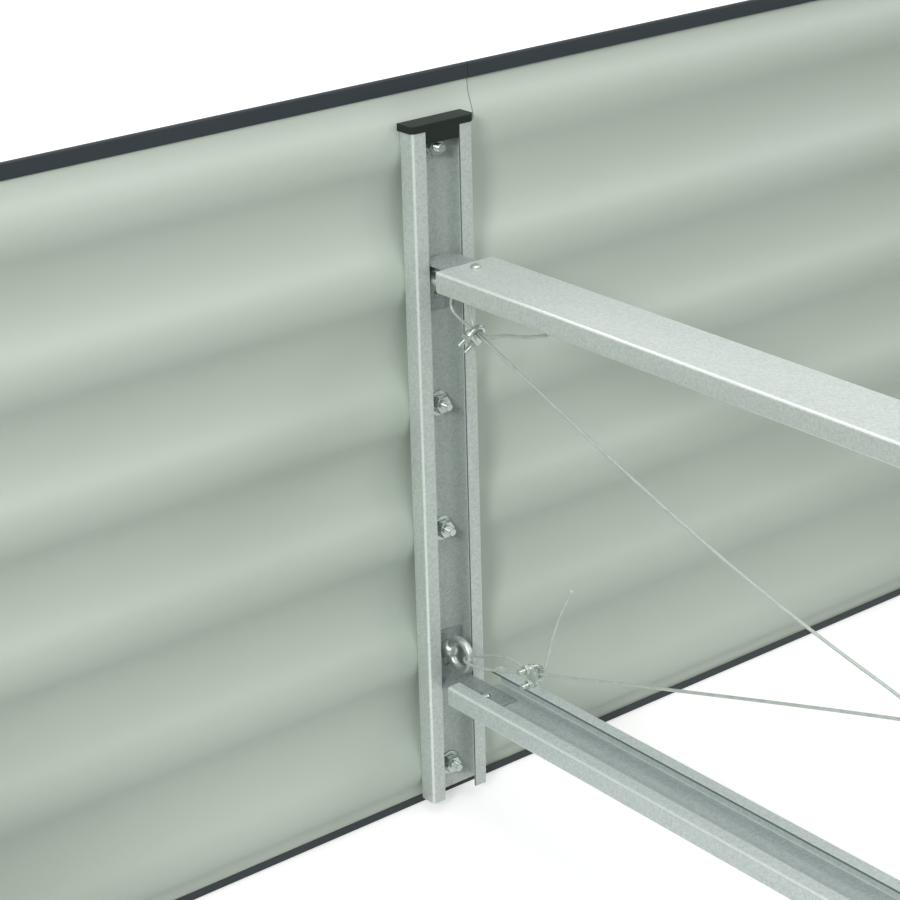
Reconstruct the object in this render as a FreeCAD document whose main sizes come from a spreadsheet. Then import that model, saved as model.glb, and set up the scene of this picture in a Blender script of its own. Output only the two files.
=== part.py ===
"""Raised garden bed of corrugated sheet steel, braced across its middle.

Six corrugated panels stand in the slots of four extruded corner posts. Each long wall is two panels that lap at
a lipped channel post. Two channel braces and two crossed wires tie the two posts together across the bed.

Frame: the origin is on the ground in the middle of the bed, X runs along it, Y across it and Z up. Millimetres.
A wall is drawn in its own frame: X along the wall, Y outwards from the plane of its edge trims, Z up.
"""
import FreeCAD, Part

import math
import os

import Sketcher

Vector = FreeCAD.Vector

# the bed
BED_LENGTH = 2180.0  # between the trim planes of the two end walls
BED_WIDTH = 1140.0  # between the trim planes of the two long walls
SEAT_GAP = 0.1  # clearance where a curved sheet lies against a flat

# corrugated sheet
SHEET_GAUGE = 0.8  # thickness
RIB_COUNT = 6  # ribs that bulge into the bed
RIB_PITCH = 118.0  # between two ribs
FOOT_BAND = 36.7  # from the ground to the middle of the lowest rib
TOP_BAND = 53.3  # from the middle of the highest rib to the top of the trim
RIB_DEPTH = 14.0  # from rib to valley
RIB_RISE = 8.1  # from the flat hems to the ribs
RIB_RADIUS = 51.0  # bend radius of a rib
FOOT_HEM = 8.6  # height where the lower hem ends
TOP_HEM = 14.0  # height of the upper hem
LAP_PLAY = 0.2  # clearance between two lapped sheets
LAP_WIDTH = 96.0  # overlap of two sheets at a post

# edge trims
TRIM_WALL = 1.2  # thickness of a trim
TRIM_SLOT = 2.0  # slot that grips the sheet edges
TOP_LEG = 13.4  # height of a top trim
FOOT_LEG = 8.0  # height of a bottom trim
TRIM_JOINT = 0.5  # gap where two trims meet

# wall posts
STEEL_GAUGE = 2.0  # thickness of posts and braces
POST_WIDTH = 63.0  # along the wall
POST_DEPTH = 18.5  # into the bed
POST_LIP = 13.5  # width of a lip
POST_FOOT = 11.2  # gap between post and ground
POST_DROP = 40.0  # from the top of the trim down to the top of the post
TOP_BOLT_DROP = 6.8  # highest bolt below the middle of its rib
CAP_PLATE = 4.2  # thickness of a cap
CAP_LAP = 1.1  # overhang of a cap
CAP_BEVEL = 3.0  # corner bevel of a post cap
CAP_PLAY = 1.0  # clearance of a cap's tongue and plug
TONGUE_DROP = 13.5  # tongue of a post cap below its plate
PLUG_DROP = 8.0  # plug of a cap below its plate

# corner posts
CORNER_WALL = 2.0  # wall thickness
CORNER_INSET = 22.0  # from the trim plane to the inner face of the tube
CORNER_FIN = 28.0  # depth of a panel slot
CORNER_NOSE = 16.0  # outer radius of the corner
END_PLAY = 2.0  # gap between a panel's end and the bottom of its slot
CORNER_RISE = 0.3  # post above the trims

# braces
BRACE_WIDTH = 63.0  # width of a brace
BRACE_DEPTH = 19.0  # height of a brace
BRACE_LIP = 13.5  # width of a lip
BRACE_GAP = 53.0  # from the trim plane to the end of a brace
BRACE_SCREW_INSET = 13.5  # screw from the end of a brace
BRACKET_GAUGE = 2.5  # thickness of a bracket
BRACKET_WIDTH = 34.0  # width of a bracket
BRACKET_REACH = 78.0  # leg along the brace
BRACKET_HEIGHT = 48.0  # leg along the post
BRACKET_BEND = 4.0  # outer bend radius
HIGH_BOLT_DROP = 15.8  # bolt below the outer face of the upper bracket
LOW_BOLT_RISE = 30.3  # bolt above the outer face of the lower bracket

# fasteners
BOLT_NECK = 6.0  # square neck and shank of a post bolt
BOLT_PLAY = 0.4  # clearance of a bolt in its hole
BOLT_HEAD = 15.0  # head width
BOLT_HEAD_RISE = 3.5  # head height
BOLT_REACH = 15.5  # bolt end in front of the post's back
NUT_FLATS = 10.0  # across the flats of a post nut
NUT_HEIGHT = 5.0  # post nut
WASHER_WIDTH = 17.0  # post washer
WASHER_GAUGE = 1.2  # post washer
TAPPER_SHANK = 4.2  # self-tapping screw
TAPPER_FLATS = 8.0  # its hexagon head
TAPPER_HEAD_RISE = 4.0  # its head height
TAPPER_TIP = 5.0  # its point beyond the sheet
SMALL_SHANK = 5.0  # brace screw
SMALL_PLAY = 0.5  # clearance of a brace screw in its hole
SMALL_HEAD = 9.5  # its head width
SMALL_HEAD_RISE = 3.0  # its head height
SMALL_FLATS = 8.0  # across the flats of brace and clip nuts
SMALL_NUT = 4.0  # height of brace and clip nuts
THREAD_END = 3.0  # small bolt beyond its nut

# eye nuts, wires and clips
EYE_WIDTH = 30.0  # outer width of an eye
EYE_SECTION = 6.5  # thickness of the ring
EYE_STAND = 19.4  # middle of the ring in front of the bracket
EYE_COLLAR = 16.0  # width of the collar
EYE_COLLAR_RISE = 8.0  # height of the collar
WIRE_GAUGE = 2.2  # diameter of a wire
CLIP_ROD = 5.0  # rod of a clip's U-bolt
CLIP_SPREAD = 13.0  # between the two legs of a U-bolt
SADDLE_LENGTH = 24.0  # across the wires
SADDLE_WIDTH = 13.0  # along the wires
SADDLE_GAUGE = 6.0  # thickness of a saddle
CLIP_PLAY = 0.5  # clearance in a clip

SIZES = [
    ("the bed", [
        ("bed_length", BED_LENGTH, "between the trim planes of the two end walls"),
        ("bed_width", BED_WIDTH, "between the trim planes of the two long walls"),
        ("seat_gap", SEAT_GAP, "clearance where a curved sheet lies against a flat"),
    ]),
    ("corrugated sheet", [
        ("sheet_gauge", SHEET_GAUGE, "thickness"),
        ("rib_count", RIB_COUNT, "ribs that bulge into the bed"),
        ("rib_pitch", RIB_PITCH, "between two ribs"),
        ("foot_band", FOOT_BAND, "from the ground to the middle of the lowest rib"),
        ("top_band", TOP_BAND, "from the middle of the highest rib to the top of the trim"),
        ("rib_depth", RIB_DEPTH, "from rib to valley"),
        ("rib_rise", RIB_RISE, "from the flat hems to the ribs"),
        ("rib_radius", RIB_RADIUS, "bend radius of a rib"),
        ("foot_hem", FOOT_HEM, "height where the lower hem ends"),
        ("top_hem", TOP_HEM, "height of the upper hem"),
        ("lap_play", LAP_PLAY, "clearance between two lapped sheets"),
        ("lap_width", LAP_WIDTH, "overlap of two sheets at a post"),
    ]),
    ("edge trims", [
        ("trim_wall", TRIM_WALL, "thickness of a trim"),
        ("trim_slot", TRIM_SLOT, "slot that grips the sheet edges"),
        ("top_leg", TOP_LEG, "height of a top trim"),
        ("foot_leg", FOOT_LEG, "height of a bottom trim"),
        ("trim_joint", TRIM_JOINT, "gap where two trims meet"),
    ]),
    ("wall posts", [
        ("steel_gauge", STEEL_GAUGE, "thickness of posts and braces"),
        ("post_width", POST_WIDTH, "along the wall"),
        ("post_depth", POST_DEPTH, "into the bed"),
        ("post_lip", POST_LIP, "width of a lip"),
        ("post_foot", POST_FOOT, "gap between post and ground"),
        ("post_drop", POST_DROP, "from the top of the trim down to the top of the post"),
        ("top_bolt_drop", TOP_BOLT_DROP, "highest bolt below the middle of its rib"),
        ("cap_plate", CAP_PLATE, "thickness of a cap"),
        ("cap_lap", CAP_LAP, "overhang of a cap"),
        ("cap_bevel", CAP_BEVEL, "corner bevel of a post cap"),
        ("cap_play", CAP_PLAY, "clearance of a cap's tongue and plug"),
        ("tongue_drop", TONGUE_DROP, "tongue of a post cap below its plate"),
        ("plug_drop", PLUG_DROP, "plug of a cap below its plate"),
    ]),
    ("corner posts", [
        ("corner_wall", CORNER_WALL, "wall thickness"),
        ("corner_inset", CORNER_INSET, "from the trim plane to the inner face of the tube"),
        ("corner_fin", CORNER_FIN, "depth of a panel slot"),
        ("corner_nose", CORNER_NOSE, "outer radius of the corner"),
        ("end_play", END_PLAY, "gap between a panel's end and the bottom of its slot"),
        ("corner_rise", CORNER_RISE, "post above the trims"),
    ]),
    ("braces", [
        ("brace_width", BRACE_WIDTH, "width of a brace"),
        ("brace_depth", BRACE_DEPTH, "height of a brace"),
        ("brace_lip", BRACE_LIP, "width of a lip"),
        ("brace_gap", BRACE_GAP, "from the trim plane to the end of a brace"),
        ("brace_screw_inset", BRACE_SCREW_INSET, "screw from the end of a brace"),
        ("bracket_gauge", BRACKET_GAUGE, "thickness of a bracket"),
        ("bracket_width", BRACKET_WIDTH, "width of a bracket"),
        ("bracket_reach", BRACKET_REACH, "leg along the brace"),
        ("bracket_height", BRACKET_HEIGHT, "leg along the post"),
        ("bracket_bend", BRACKET_BEND, "outer bend radius"),
        ("high_bolt_drop", HIGH_BOLT_DROP, "bolt below the outer face of the upper bracket"),
        ("low_bolt_rise", LOW_BOLT_RISE, "bolt above the outer face of the lower bracket"),
    ]),
    ("fasteners", [
        ("bolt_neck", BOLT_NECK, "square neck and shank of a post bolt"),
        ("bolt_play", BOLT_PLAY, "clearance of a bolt in its hole"),
        ("bolt_head", BOLT_HEAD, "head width"),
        ("bolt_head_rise", BOLT_HEAD_RISE, "head height"),
        ("bolt_reach", BOLT_REACH, "bolt end in front of the post's back"),
        ("nut_flats", NUT_FLATS, "across the flats of a post nut"),
        ("nut_height", NUT_HEIGHT, "post nut"),
        ("washer_width", WASHER_WIDTH, "post washer"),
        ("washer_gauge", WASHER_GAUGE, "post washer"),
        ("tapper_shank", TAPPER_SHANK, "self-tapping screw"),
        ("tapper_flats", TAPPER_FLATS, "its hexagon head"),
        ("tapper_head_rise", TAPPER_HEAD_RISE, "its head height"),
        ("tapper_tip", TAPPER_TIP, "its point beyond the sheet"),
        ("small_shank", SMALL_SHANK, "brace screw"),
        ("small_play", SMALL_PLAY, "clearance of a brace screw in its hole"),
        ("small_head", SMALL_HEAD, "its head width"),
        ("small_head_rise", SMALL_HEAD_RISE, "its head height"),
        ("small_flats", SMALL_FLATS, "across the flats of brace and clip nuts"),
        ("small_nut", SMALL_NUT, "height of brace and clip nuts"),
        ("thread_end", THREAD_END, "small bolt beyond its nut"),
    ]),
    ("eye nuts, wires and clips", [
        ("eye_width", EYE_WIDTH, "outer width of an eye"),
        ("eye_section", EYE_SECTION, "thickness of the ring"),
        ("eye_stand", EYE_STAND, "middle of the ring in front of the bracket"),
        ("eye_collar", EYE_COLLAR, "width of the collar"),
        ("eye_collar_rise", EYE_COLLAR_RISE, "height of the collar"),
        ("wire_gauge", WIRE_GAUGE, "diameter of a wire"),
        ("clip_rod", CLIP_ROD, "rod of a clip's U-bolt"),
        ("clip_spread", CLIP_SPREAD, "between the two legs of a U-bolt"),
        ("saddle_length", SADDLE_LENGTH, "across the wires"),
        ("saddle_width", SADDLE_WIDTH, "along the wires"),
        ("saddle_gauge", SADDLE_GAUGE, "thickness of a saddle"),
        ("clip_play", CLIP_PLAY, "clearance in a clip"),
    ]),
]

FACETS_ROUND = 8
FACETS_HEXAGON = 6
FACETS_SQUARE = 4
FACETS_RING = 12
FACETS_BEND = 4
FACETS_WIRE = 5

document = FreeCAD.newDocument("RaisedGardenBed")
sheet = document.addObject("Spreadsheet::Sheet", "Sizes")


class Size:
    """A length with its value and the sheet expression that gives the same value."""

    def __init__(self, value, text):
        self.value = float(value)
        self.text = text

    def _join(self, sign, other, value):
        return Size(value, "(%s %s %s)" % (self.text, sign, as_size(other).text))

    def __add__(self, other):
        return self._join("+", other, self.value + as_size(other).value)

    def __sub__(self, other):
        return self._join("-", other, self.value - as_size(other).value)

    def __mul__(self, other):
        return self._join("*", other, self.value * as_size(other).value)

    def __truediv__(self, other):
        return self._join("/", other, self.value / as_size(other).value)

    def __neg__(self):
        return Size(-self.value, "(-1 * %s)" % self.text)


def as_size(thing):
    """A plain number as a Size; a Size is returned as it is."""
    return thing if isinstance(thing, Size) else Size(thing, repr(thing))


def size(alias):
    """The value of one cell of the sheet, by its alias."""
    return Size(sheet.get(alias), "Sizes." + alias)


def fill_sheet():
    """Write the driving dimensions into the sheet: name, number and meaning in each row."""
    row = 1
    for heading, cells in SIZES:
        sheet.set("A%d" % row, heading)
        row += 1
        for alias, value, meaning in cells:
            sheet.set("A%d" % row, alias)
            sheet.set("B%d" % row, str(value))
            sheet.set("C%d" % row, meaning)
            sheet.setAlias("B%d" % row, alias)
            row += 1
    document.recompute()


# ---------------------------------------------------------------------------------------------------------------
# drawing helpers


def place(item, x=0, y=0, z=0, turn=0, axis=Vector(0, 0, 1)):
    """Turn an object about an axis and bind its place to the sheet."""
    item.Placement = FreeCAD.Placement(Vector(), FreeCAD.Rotation(axis, turn))
    for name, value in (("x", x), ("y", y), ("z", z)):
        item.setExpression("Placement.Base." + name, as_size(value).text)


def place_on_wall(item, wall):
    """Put an object that is drawn in the frame of a wall on that wall."""
    x, y, turn = wall
    place(item, x, y, 0, turn)


def origin_feature(body, role):
    """One of a body's own origin planes or axes."""
    return next(feature for feature in body.Origin.OriginFeatures if feature.Role == role)


def new_body(label):
    body = document.addObject("PartDesign::Body", label)
    body.Label = label
    return body


def sketch_on(body, role, name):
    """An empty sketch on an origin plane of the body."""
    sketch = body.newObject("Sketcher::SketchObject", name)
    sketch.AttachmentSupport = (origin_feature(body, role), [""])
    sketch.MapMode = "FlatFace"
    return sketch


def fix(sketch, kind, where, value):
    """Add one constraint whose value comes from the sheet."""
    value = as_size(value)
    index = sketch.addConstraint(Sketcher.Constraint(kind, *where, value.value))
    sketch.setExpression("Constraints[%d]" % index, value.text)


def outline(sketch, points):
    """A closed outline of straight lines; each corner is held at its two sizes from the sketch's origin."""
    corners = [(as_size(x), as_size(y)) for x, y in points]
    spots = [Vector(x.value, y.value, 0) for x, y in corners]
    first = sketch.GeometryCount
    count = len(spots)
    for index in range(count):
        sketch.addGeometry(Part.LineSegment(spots[index], spots[(index + 1) % count]), False)
    for index in range(count):
        ends = (first + index, 2, first + (index + 1) % count, 1)
        sketch.addConstraint(Sketcher.Constraint("Coincident", *ends))
    for index, (x, y) in enumerate(corners):
        fix(sketch, "DistanceX", (-1, 1, first + index, 1), x)
        fix(sketch, "DistanceY", (-1, 1, first + index, 1), y)


def rectangle(sketch, x_low, x_high, y_low, y_high):
    outline(sketch, [(x_low, y_low), (x_high, y_low), (x_high, y_high), (x_low, y_high)])


def square_hole(sketch, x, y, width):
    half = width / 2
    rectangle(sketch, x - half, x + half, y - half, y + half)


def hexagon_hole(sketch, x, y, width, longer=0):
    """A hole with six corners for a round shank; made longer, it is a slot that starts there and runs along Y."""
    side = width / 2
    rise = width / (2 * math.cos(math.pi / FACETS_HEXAGON))
    bevel = rise - rise / 2
    x = as_size(x)
    outline(sketch, [(x - side, y - bevel), (x, y - rise), (x + side, y - bevel), (x + side, y + longer + bevel),
                     (x, y + longer + rise), (x - side, y + longer + bevel)])


def pad(body, sketch, length, both_ways=False):
    feature = body.newObject("PartDesign::Pad", sketch.Name + "_pad")
    feature.Profile = sketch
    feature.Midplane = both_ways
    feature.setExpression("Length", length.text)
    document.recompute()
    return feature


def pocket(body, sketch, depth=None, reverse=False):
    """Cut a sketch out of a body: all the way both ways, or to a depth on one side. It must remove something."""
    before = body.Shape.Volume
    feature = body.newObject("PartDesign::Pocket", sketch.Name + "_pocket")
    feature.Profile = sketch
    if depth is None:
        feature.Type = 1
        feature.Midplane = True
    else:
        feature.Reversed = reverse
        feature.setExpression("Length", depth.text)
    document.recompute()
    if body.Shape.Volume >= before:
        raise RuntimeError("%s cuts nothing from %s" % (sketch.Name, body.Label))
    return feature


def round_corner(body, first_axis, second_axis, first, second, radius):
    """Round the straight edge of a body's last feature that stands at two places on two axes."""
    tip = body.Tip
    names = []
    for number, edge in enumerate(tip.Shape.Edges, start=1):
        box = edge.BoundBox
        found = True
        for axis, spot in ((first_axis, first), (second_axis, second)):
            for end in ("Min", "Max"):
                found = found and round(getattr(box, axis + end) - spot.value, 3) == 0
        if found:
            names.append("Edge%d" % number)
    feature = body.newObject("PartDesign::Fillet", "round_corner")
    feature.Base = (tip, names)
    feature.setExpression("Radius", radius.text)
    document.recompute()


def channel_points(width, depth, lip, gauge):
    """Section of a lipped channel: the web's back lies on the X axis and the channel opens towards -Y."""
    half = width / 2
    return [
        (-half, 0), (half, 0), (half, -depth), (half - lip, -depth),
        (half - lip, gauge - depth), (half - gauge, gauge - depth), (half - gauge, -gauge),
        (gauge - half, -gauge), (gauge - half, gauge - depth), (lip - half, gauge - depth),
        (lip - half, -depth), (-half, -depth),
    ]


def block(name, corner, spans):
    """A box from its low corner and its three lengths."""
    item = document.addObject("Part::Box", name)
    for side, length in zip(("Length", "Width", "Height"), spans):
        item.setExpression(side, as_size(length).text)
    place(item, *corner)
    return item


def cut(name, base, tools):
    item = document.addObject("Part::Cut", name)
    item.Base = base
    item.Tool = tools[0] if len(tools) == 1 else group(name + "_tools", tools)
    return item


def group(name, items):
    item = document.addObject("Part::Compound", name)
    item.Links = items
    return item


def solid(label, shape):
    """A sub-part whose form is worked out below from the sheet's values."""
    item = document.addObject("Part::Feature", label)
    item.Label = label
    item.Shape = shape
    return item


# ---------------------------------------------------------------------------------------------------------------
# levels and planes that several pieces share

fill_sheet()

half_length = size("bed_length") / 2
half_width = size("bed_width") / 2
rib_pitch = size("rib_pitch")
rib_count = int(size("rib_count").value)
rib_levels = [size("foot_band") + rib_pitch * index for index in range(rib_count)]
bed_height = rib_levels[-1] + size("top_band")

gauge = size("sheet_gauge")
lap_shift = (gauge + size("lap_play")) / 2
rib_face = -(lap_shift + size("rib_rise") + gauge / 2)
valley_face = lap_shift - size("rib_rise") + size("rib_depth") + gauge / 2
post_back = rib_face - size("seat_gap")
post_front = post_back - size("steel_gauge")
bracket_face = post_front - size("bracket_gauge")
bolt_levels = rib_levels[:-1] + [rib_levels[-1] - size("top_bolt_drop")]
foot_run = rib_levels[0] - size("foot_hem")
low_eye_level = bolt_levels[1]
high_eye_level = bolt_levels[-2]

high_brace_web = high_eye_level + size("high_bolt_drop")
low_brace_web = low_eye_level - size("low_bolt_rise")
brace_screw = -(size("brace_gap") + size("brace_screw_inset"))

WALLS = {
    "rear": (0, half_width, 0),
    "front": (0, -half_width, 180),
    "left": (-half_length, 0, 90),
    "right": (half_length, 0, -90),
}
LONG_WALLS = ("rear", "front")
END_WALLS = ("left", "right")
CORNERS = {
    "rear_right": (half_length, half_width, 0),
    "rear_left": (-half_length, half_width, 90),
    "front_left": (-half_length, -half_width, 180),
    "front_right": (half_length, -half_width, -90),
}


def side_name(wall, toward_minus):
    """The name of a half of a long wall, as seen from the front of the bed."""
    return "left" if (wall == "rear") == toward_minus else "right"


def wall_spot(wall, x, y, z, tilt=FreeCAD.Rotation()):
    """A placement in the frame of a wall, as numbers, in the frame of the bed."""
    wall_x, wall_y, turn = WALLS[wall]
    base = FreeCAD.Placement(Vector(as_size(wall_x).value, as_size(wall_y).value, 0),
                             FreeCAD.Rotation(Vector(0, 0, 1), turn))
    return base.multiply(FreeCAD.Placement(Vector(x, y, z), tilt))


# ---------------------------------------------------------------------------------------------------------------
# corrugated panels


class Bend:
    """Draws a bent strip of sheet in the YZ plane, piece by piece, from its foot upwards."""

    def __init__(self, y, z, thickness):
        self.y = y
        self.z = z
        self.heading = 0.0
        self.half = thickness / 2
        self.inner = []
        self.outer = []

    def _sides(self, y, z, heading):
        across = Vector(0, math.cos(heading) * self.half, -math.sin(heading) * self.half)
        middle = Vector(0, y, z)
        return middle - across, middle + across

    def straight(self, length):
        start = self._sides(self.y, self.z, self.heading)
        self.y += length * math.sin(self.heading)
        self.z += length * math.cos(self.heading)
        end = self._sides(self.y, self.z, self.heading)
        self.inner.append(Part.LineSegment(start[0], end[0]).toShape())
        self.outer.append(Part.LineSegment(start[1], end[1]).toShape())

    def arc(self, radius, angle):
        """Turn by an angle, outwards when it is positive."""
        bend = math.copysign(radius, angle)
        centre_y = self.y + bend * math.cos(self.heading)
        centre_z = self.z - bend * math.sin(self.heading)
        spots = []
        for share in (0.0, 0.5, 1.0):
            heading = self.heading + angle * share
            y = centre_y - bend * math.cos(heading)
            z = centre_z + bend * math.sin(heading)
            spots.append(self._sides(y, z, heading))
        self.inner.append(Part.Arc(spots[0][0], spots[1][0], spots[2][0]).toShape())
        self.outer.append(Part.Arc(spots[0][1], spots[1][1], spots[2][1]).toShape())
        self.heading += angle
        self.y = y
        self.z = z

    def face(self):
        foot = Part.LineSegment(self.inner[0].Vertexes[0].Point, self.outer[0].Vertexes[0].Point).toShape()
        head = Part.LineSegment(self.inner[-1].Vertexes[-1].Point, self.outer[-1].Vertexes[-1].Point).toShape()
        edges = Part.__sortEdges__(self.inner + [head] + self.outer + [foot])
        return Part.Face(Part.Wire(edges))


def hem_bend(run):
    """Turn and radius of the two equal arcs that lead from an outer rib to a flat hem, over a height."""
    turn = 2 * math.atan(size("rib_rise").value / run.value)
    return turn, run.value / (2 * math.sin(turn))


def corrugated_section(shift):
    """The panel's section: a flat hem, ribs and valleys of tangent arcs, and a flat hem."""
    half_pitch = rib_pitch.value / 2
    flank = 2 * math.atan(size("rib_depth").value / half_pitch)
    rib_radius = size("rib_radius").value
    valley_radius = half_pitch / math.sin(flank) - rib_radius
    foot = (size("trim_wall") + size("seat_gap")).value
    foot_turn, foot_radius = hem_bend(foot_run)
    top_turn, top_radius = hem_bend(size("top_band") - size("top_hem"))
    strip = Bend(shift, foot, gauge.value)
    strip.straight(size("foot_hem").value - foot)
    strip.arc(foot_radius, -foot_turn)
    strip.arc(foot_radius, foot_turn)
    strip.arc(rib_radius, flank)
    for _ in range(rib_count - 2):
        strip.arc(valley_radius, -2 * flank)
        strip.arc(rib_radius, 2 * flank)
    strip.arc(valley_radius, -2 * flank)
    strip.arc(rib_radius, flank)
    strip.arc(top_radius, top_turn)
    strip.arc(top_radius, -top_turn)
    strip.straight(size("top_hem").value - foot)
    return strip.face()


def panel(label, wall, start, end, shift, bolts_at_lap):
    """One corrugated panel from start to end along its wall, with its bolt and screw holes."""
    section = document.addObject("Part::Feature", label + "_section")
    section.Shape = corrugated_section(shift.value)
    sheet_body = document.addObject("Part::Extrusion", label + "_sheet")
    sheet_body.Base = section
    sheet_body.DirMode = "Custom"
    sheet_body.Dir = Vector(1, 0, 0)
    sheet_body.Solid = True
    sheet_body.setExpression("LengthFwd", (end - start).text)
    place(sheet_body, start)
    holes = []
    across = size("rib_depth") * 2
    if bolts_at_lap:
        width = size("bolt_neck") + size("bolt_play")
        for number, level in enumerate(bolt_levels, start=1):
            corner = (-(width / 2), -across, level - width / 2)
            holes.append(block("%s_bolt_hole_%d" % (label, number), corner, (width, across * 2, width)))
    width = size("tapper_shank") + size("seat_gap")
    for x in screw_places(start, end):
        for number, level in enumerate(screw_levels, start=1):
            corner = (x - width / 2, -across, level - width / 2)
            holes.append(block("%s_screw_hole_%d" % (label, number), corner, (width, across * 2, width)))
    item = cut(label, sheet_body, holes)
    item.Label = label
    place_on_wall(item, wall)
    return item


screw_levels = [rib_levels[1], rib_levels[-2]]
panel_inset = size("corner_inset") + size("end_play")
screw_inset = size("corner_inset") + size("corner_fin") / 2


def screw_places(start, end):
    """Where along a wall its screws sit: the middle of each corner slot that the panel reaches."""
    from_end = screw_inset - panel_inset
    lap = size("lap_width").value
    places = []
    if start.value < -lap:
        places.append(start + from_end)
    if end.value > lap:
        places.append(end - from_end)
    return places


def wall_panels():
    """Panels of the two long walls, two to a wall, and one panel for each end wall."""
    reach = half_length - panel_inset
    half_lap = size("lap_width") / 2
    for wall in LONG_WALLS:
        inside = "panel_%s_%s" % (wall, side_name(wall, True))
        outside = "panel_%s_%s" % (wall, side_name(wall, False))
        panel(inside, WALLS[wall], -reach, half_lap, -lap_shift, True)
        panel(outside, WALLS[wall], -half_lap, reach, lap_shift, True)
    reach = half_width - panel_inset
    for wall in END_WALLS:
        panel("panel_end_" + wall, WALLS[wall], -reach, reach, as_size(0), False)


# ---------------------------------------------------------------------------------------------------------------
# edge trims


def trim(label, wall, start, end, top):
    """A U-shaped edge trim: the top one opens down over the sheet edge, the bottom one opens up."""
    body = new_body(label)
    sketch = sketch_on(body, "YZ_Plane", label + "_section")
    slot = size("trim_slot") / 2
    side = slot + size("trim_wall")
    if top:
        edge = bed_height
        web = bed_height - size("trim_wall")
        lip = bed_height - size("top_leg")
    else:
        edge = as_size(0)
        web = size("trim_wall")
        lip = size("foot_leg")
    outline(sketch, [(-side, edge), (side, edge), (side, lip), (slot, lip),
                     (slot, web), (-slot, web), (-slot, lip), (-side, lip)])
    pad(body, sketch, end - start)
    x, y, turn = wall
    along = FreeCAD.Rotation(Vector(0, 0, 1), turn).multVec(Vector(1, 0, 0))
    place(body, as_size(x) + start * round(along.x), as_size(y) + start * round(along.y), 0, turn)


def edge_trims():
    reach = half_length - panel_inset
    joint = size("lap_width") / 2
    for height, top in (("top", True), ("bottom", False)):
        for wall in LONG_WALLS:
            first = "trim_%s_%s_%s" % (height, wall, side_name(wall, True))
            second = "trim_%s_%s_%s" % (height, wall, side_name(wall, False))
            trim(first, WALLS[wall], -reach, joint, top)
            trim(second, WALLS[wall], joint + size("trim_joint"), reach, top)
        for wall in END_WALLS:
            end_reach = half_width - panel_inset
            trim("trim_%s_end_%s" % (height, wall), WALLS[wall], -end_reach, end_reach, top)


# ---------------------------------------------------------------------------------------------------------------
# wall posts and their caps

post_top = bed_height - size("post_drop")


def wall_post(wall):
    """A lipped channel on the inside of a long wall, with a square hole for each bolt in its web."""
    body = new_body("post_" + wall)
    section = sketch_on(body, "XY_Plane", body.Name + "_section")
    outline(section, channel_points(size("post_width"), size("post_depth"), size("post_lip"), size("steel_gauge")))
    pad(body, section, post_top - size("post_foot"))
    holes = sketch_on(body, "XZ_Plane", body.Name + "_holes")
    for level in bolt_levels:
        square_hole(holes, as_size(0), level - size("post_foot"), size("bolt_neck") + size("bolt_play"))
    pocket(body, holes)
    x, y, turn = WALLS[wall]
    inward = -1 if turn == 0 else 1
    place(body, x, y - post_back * inward, size("post_foot"), turn)


def post_cap(wall):
    """A bevelled plate on the post with a tongue between the lips and a plug inside the channel."""
    body = new_body("post_cap_" + wall)
    lap = size("cap_lap")
    side = size("post_width") / 2 + lap
    front = -(size("post_depth") + lap)
    bevel = size("cap_bevel")
    plate = sketch_on(body, "XY_Plane", body.Name + "_plate")
    outline(plate, [(-side, 0), (side, 0), (side, front + bevel), (side - bevel, front),
                    (bevel - side, front), (-side, front + bevel)])
    pad(body, plate, size("cap_plate"))
    wall_gauge = size("steel_gauge")
    play = size("cap_play")
    slot = size("post_width") / 2 - size("post_lip")
    inner_side = size("post_width") / 2 - wall_gauge - play
    inner_front = wall_gauge - size("post_depth") + play
    tongue = sketch_on(body, "XY_Plane", body.Name + "_tongue")
    rectangle(tongue, play - slot, slot - play, -size("post_depth"), wall_gauge - size("post_depth"))
    downward_pad(body, tongue, size("tongue_drop"))
    plug = sketch_on(body, "XY_Plane", body.Name + "_plug")
    rectangle(plug, -inner_side, inner_side, inner_front, -(wall_gauge + play))
    downward_pad(body, plug, size("plug_drop"))
    x, y, turn = WALLS[wall]
    inward = -1 if turn == 0 else 1
    place(body, x, y - post_back * inward, post_top, turn)


def downward_pad(body, sketch, length):
    feature = pad(body, sketch, length)
    feature.Reversed = True
    document.recompute()


# ---------------------------------------------------------------------------------------------------------------
# corner posts and their caps

slot_outer = valley_face + size("seat_gap")
slot_inner = post_back
fin_outer = slot_outer + size("corner_wall")
fin_inner = slot_inner - size("corner_wall")
tube_side = -size("corner_inset")
fin_end = tube_side - size("corner_fin")
corner_top = bed_height + size("corner_rise")


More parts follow.
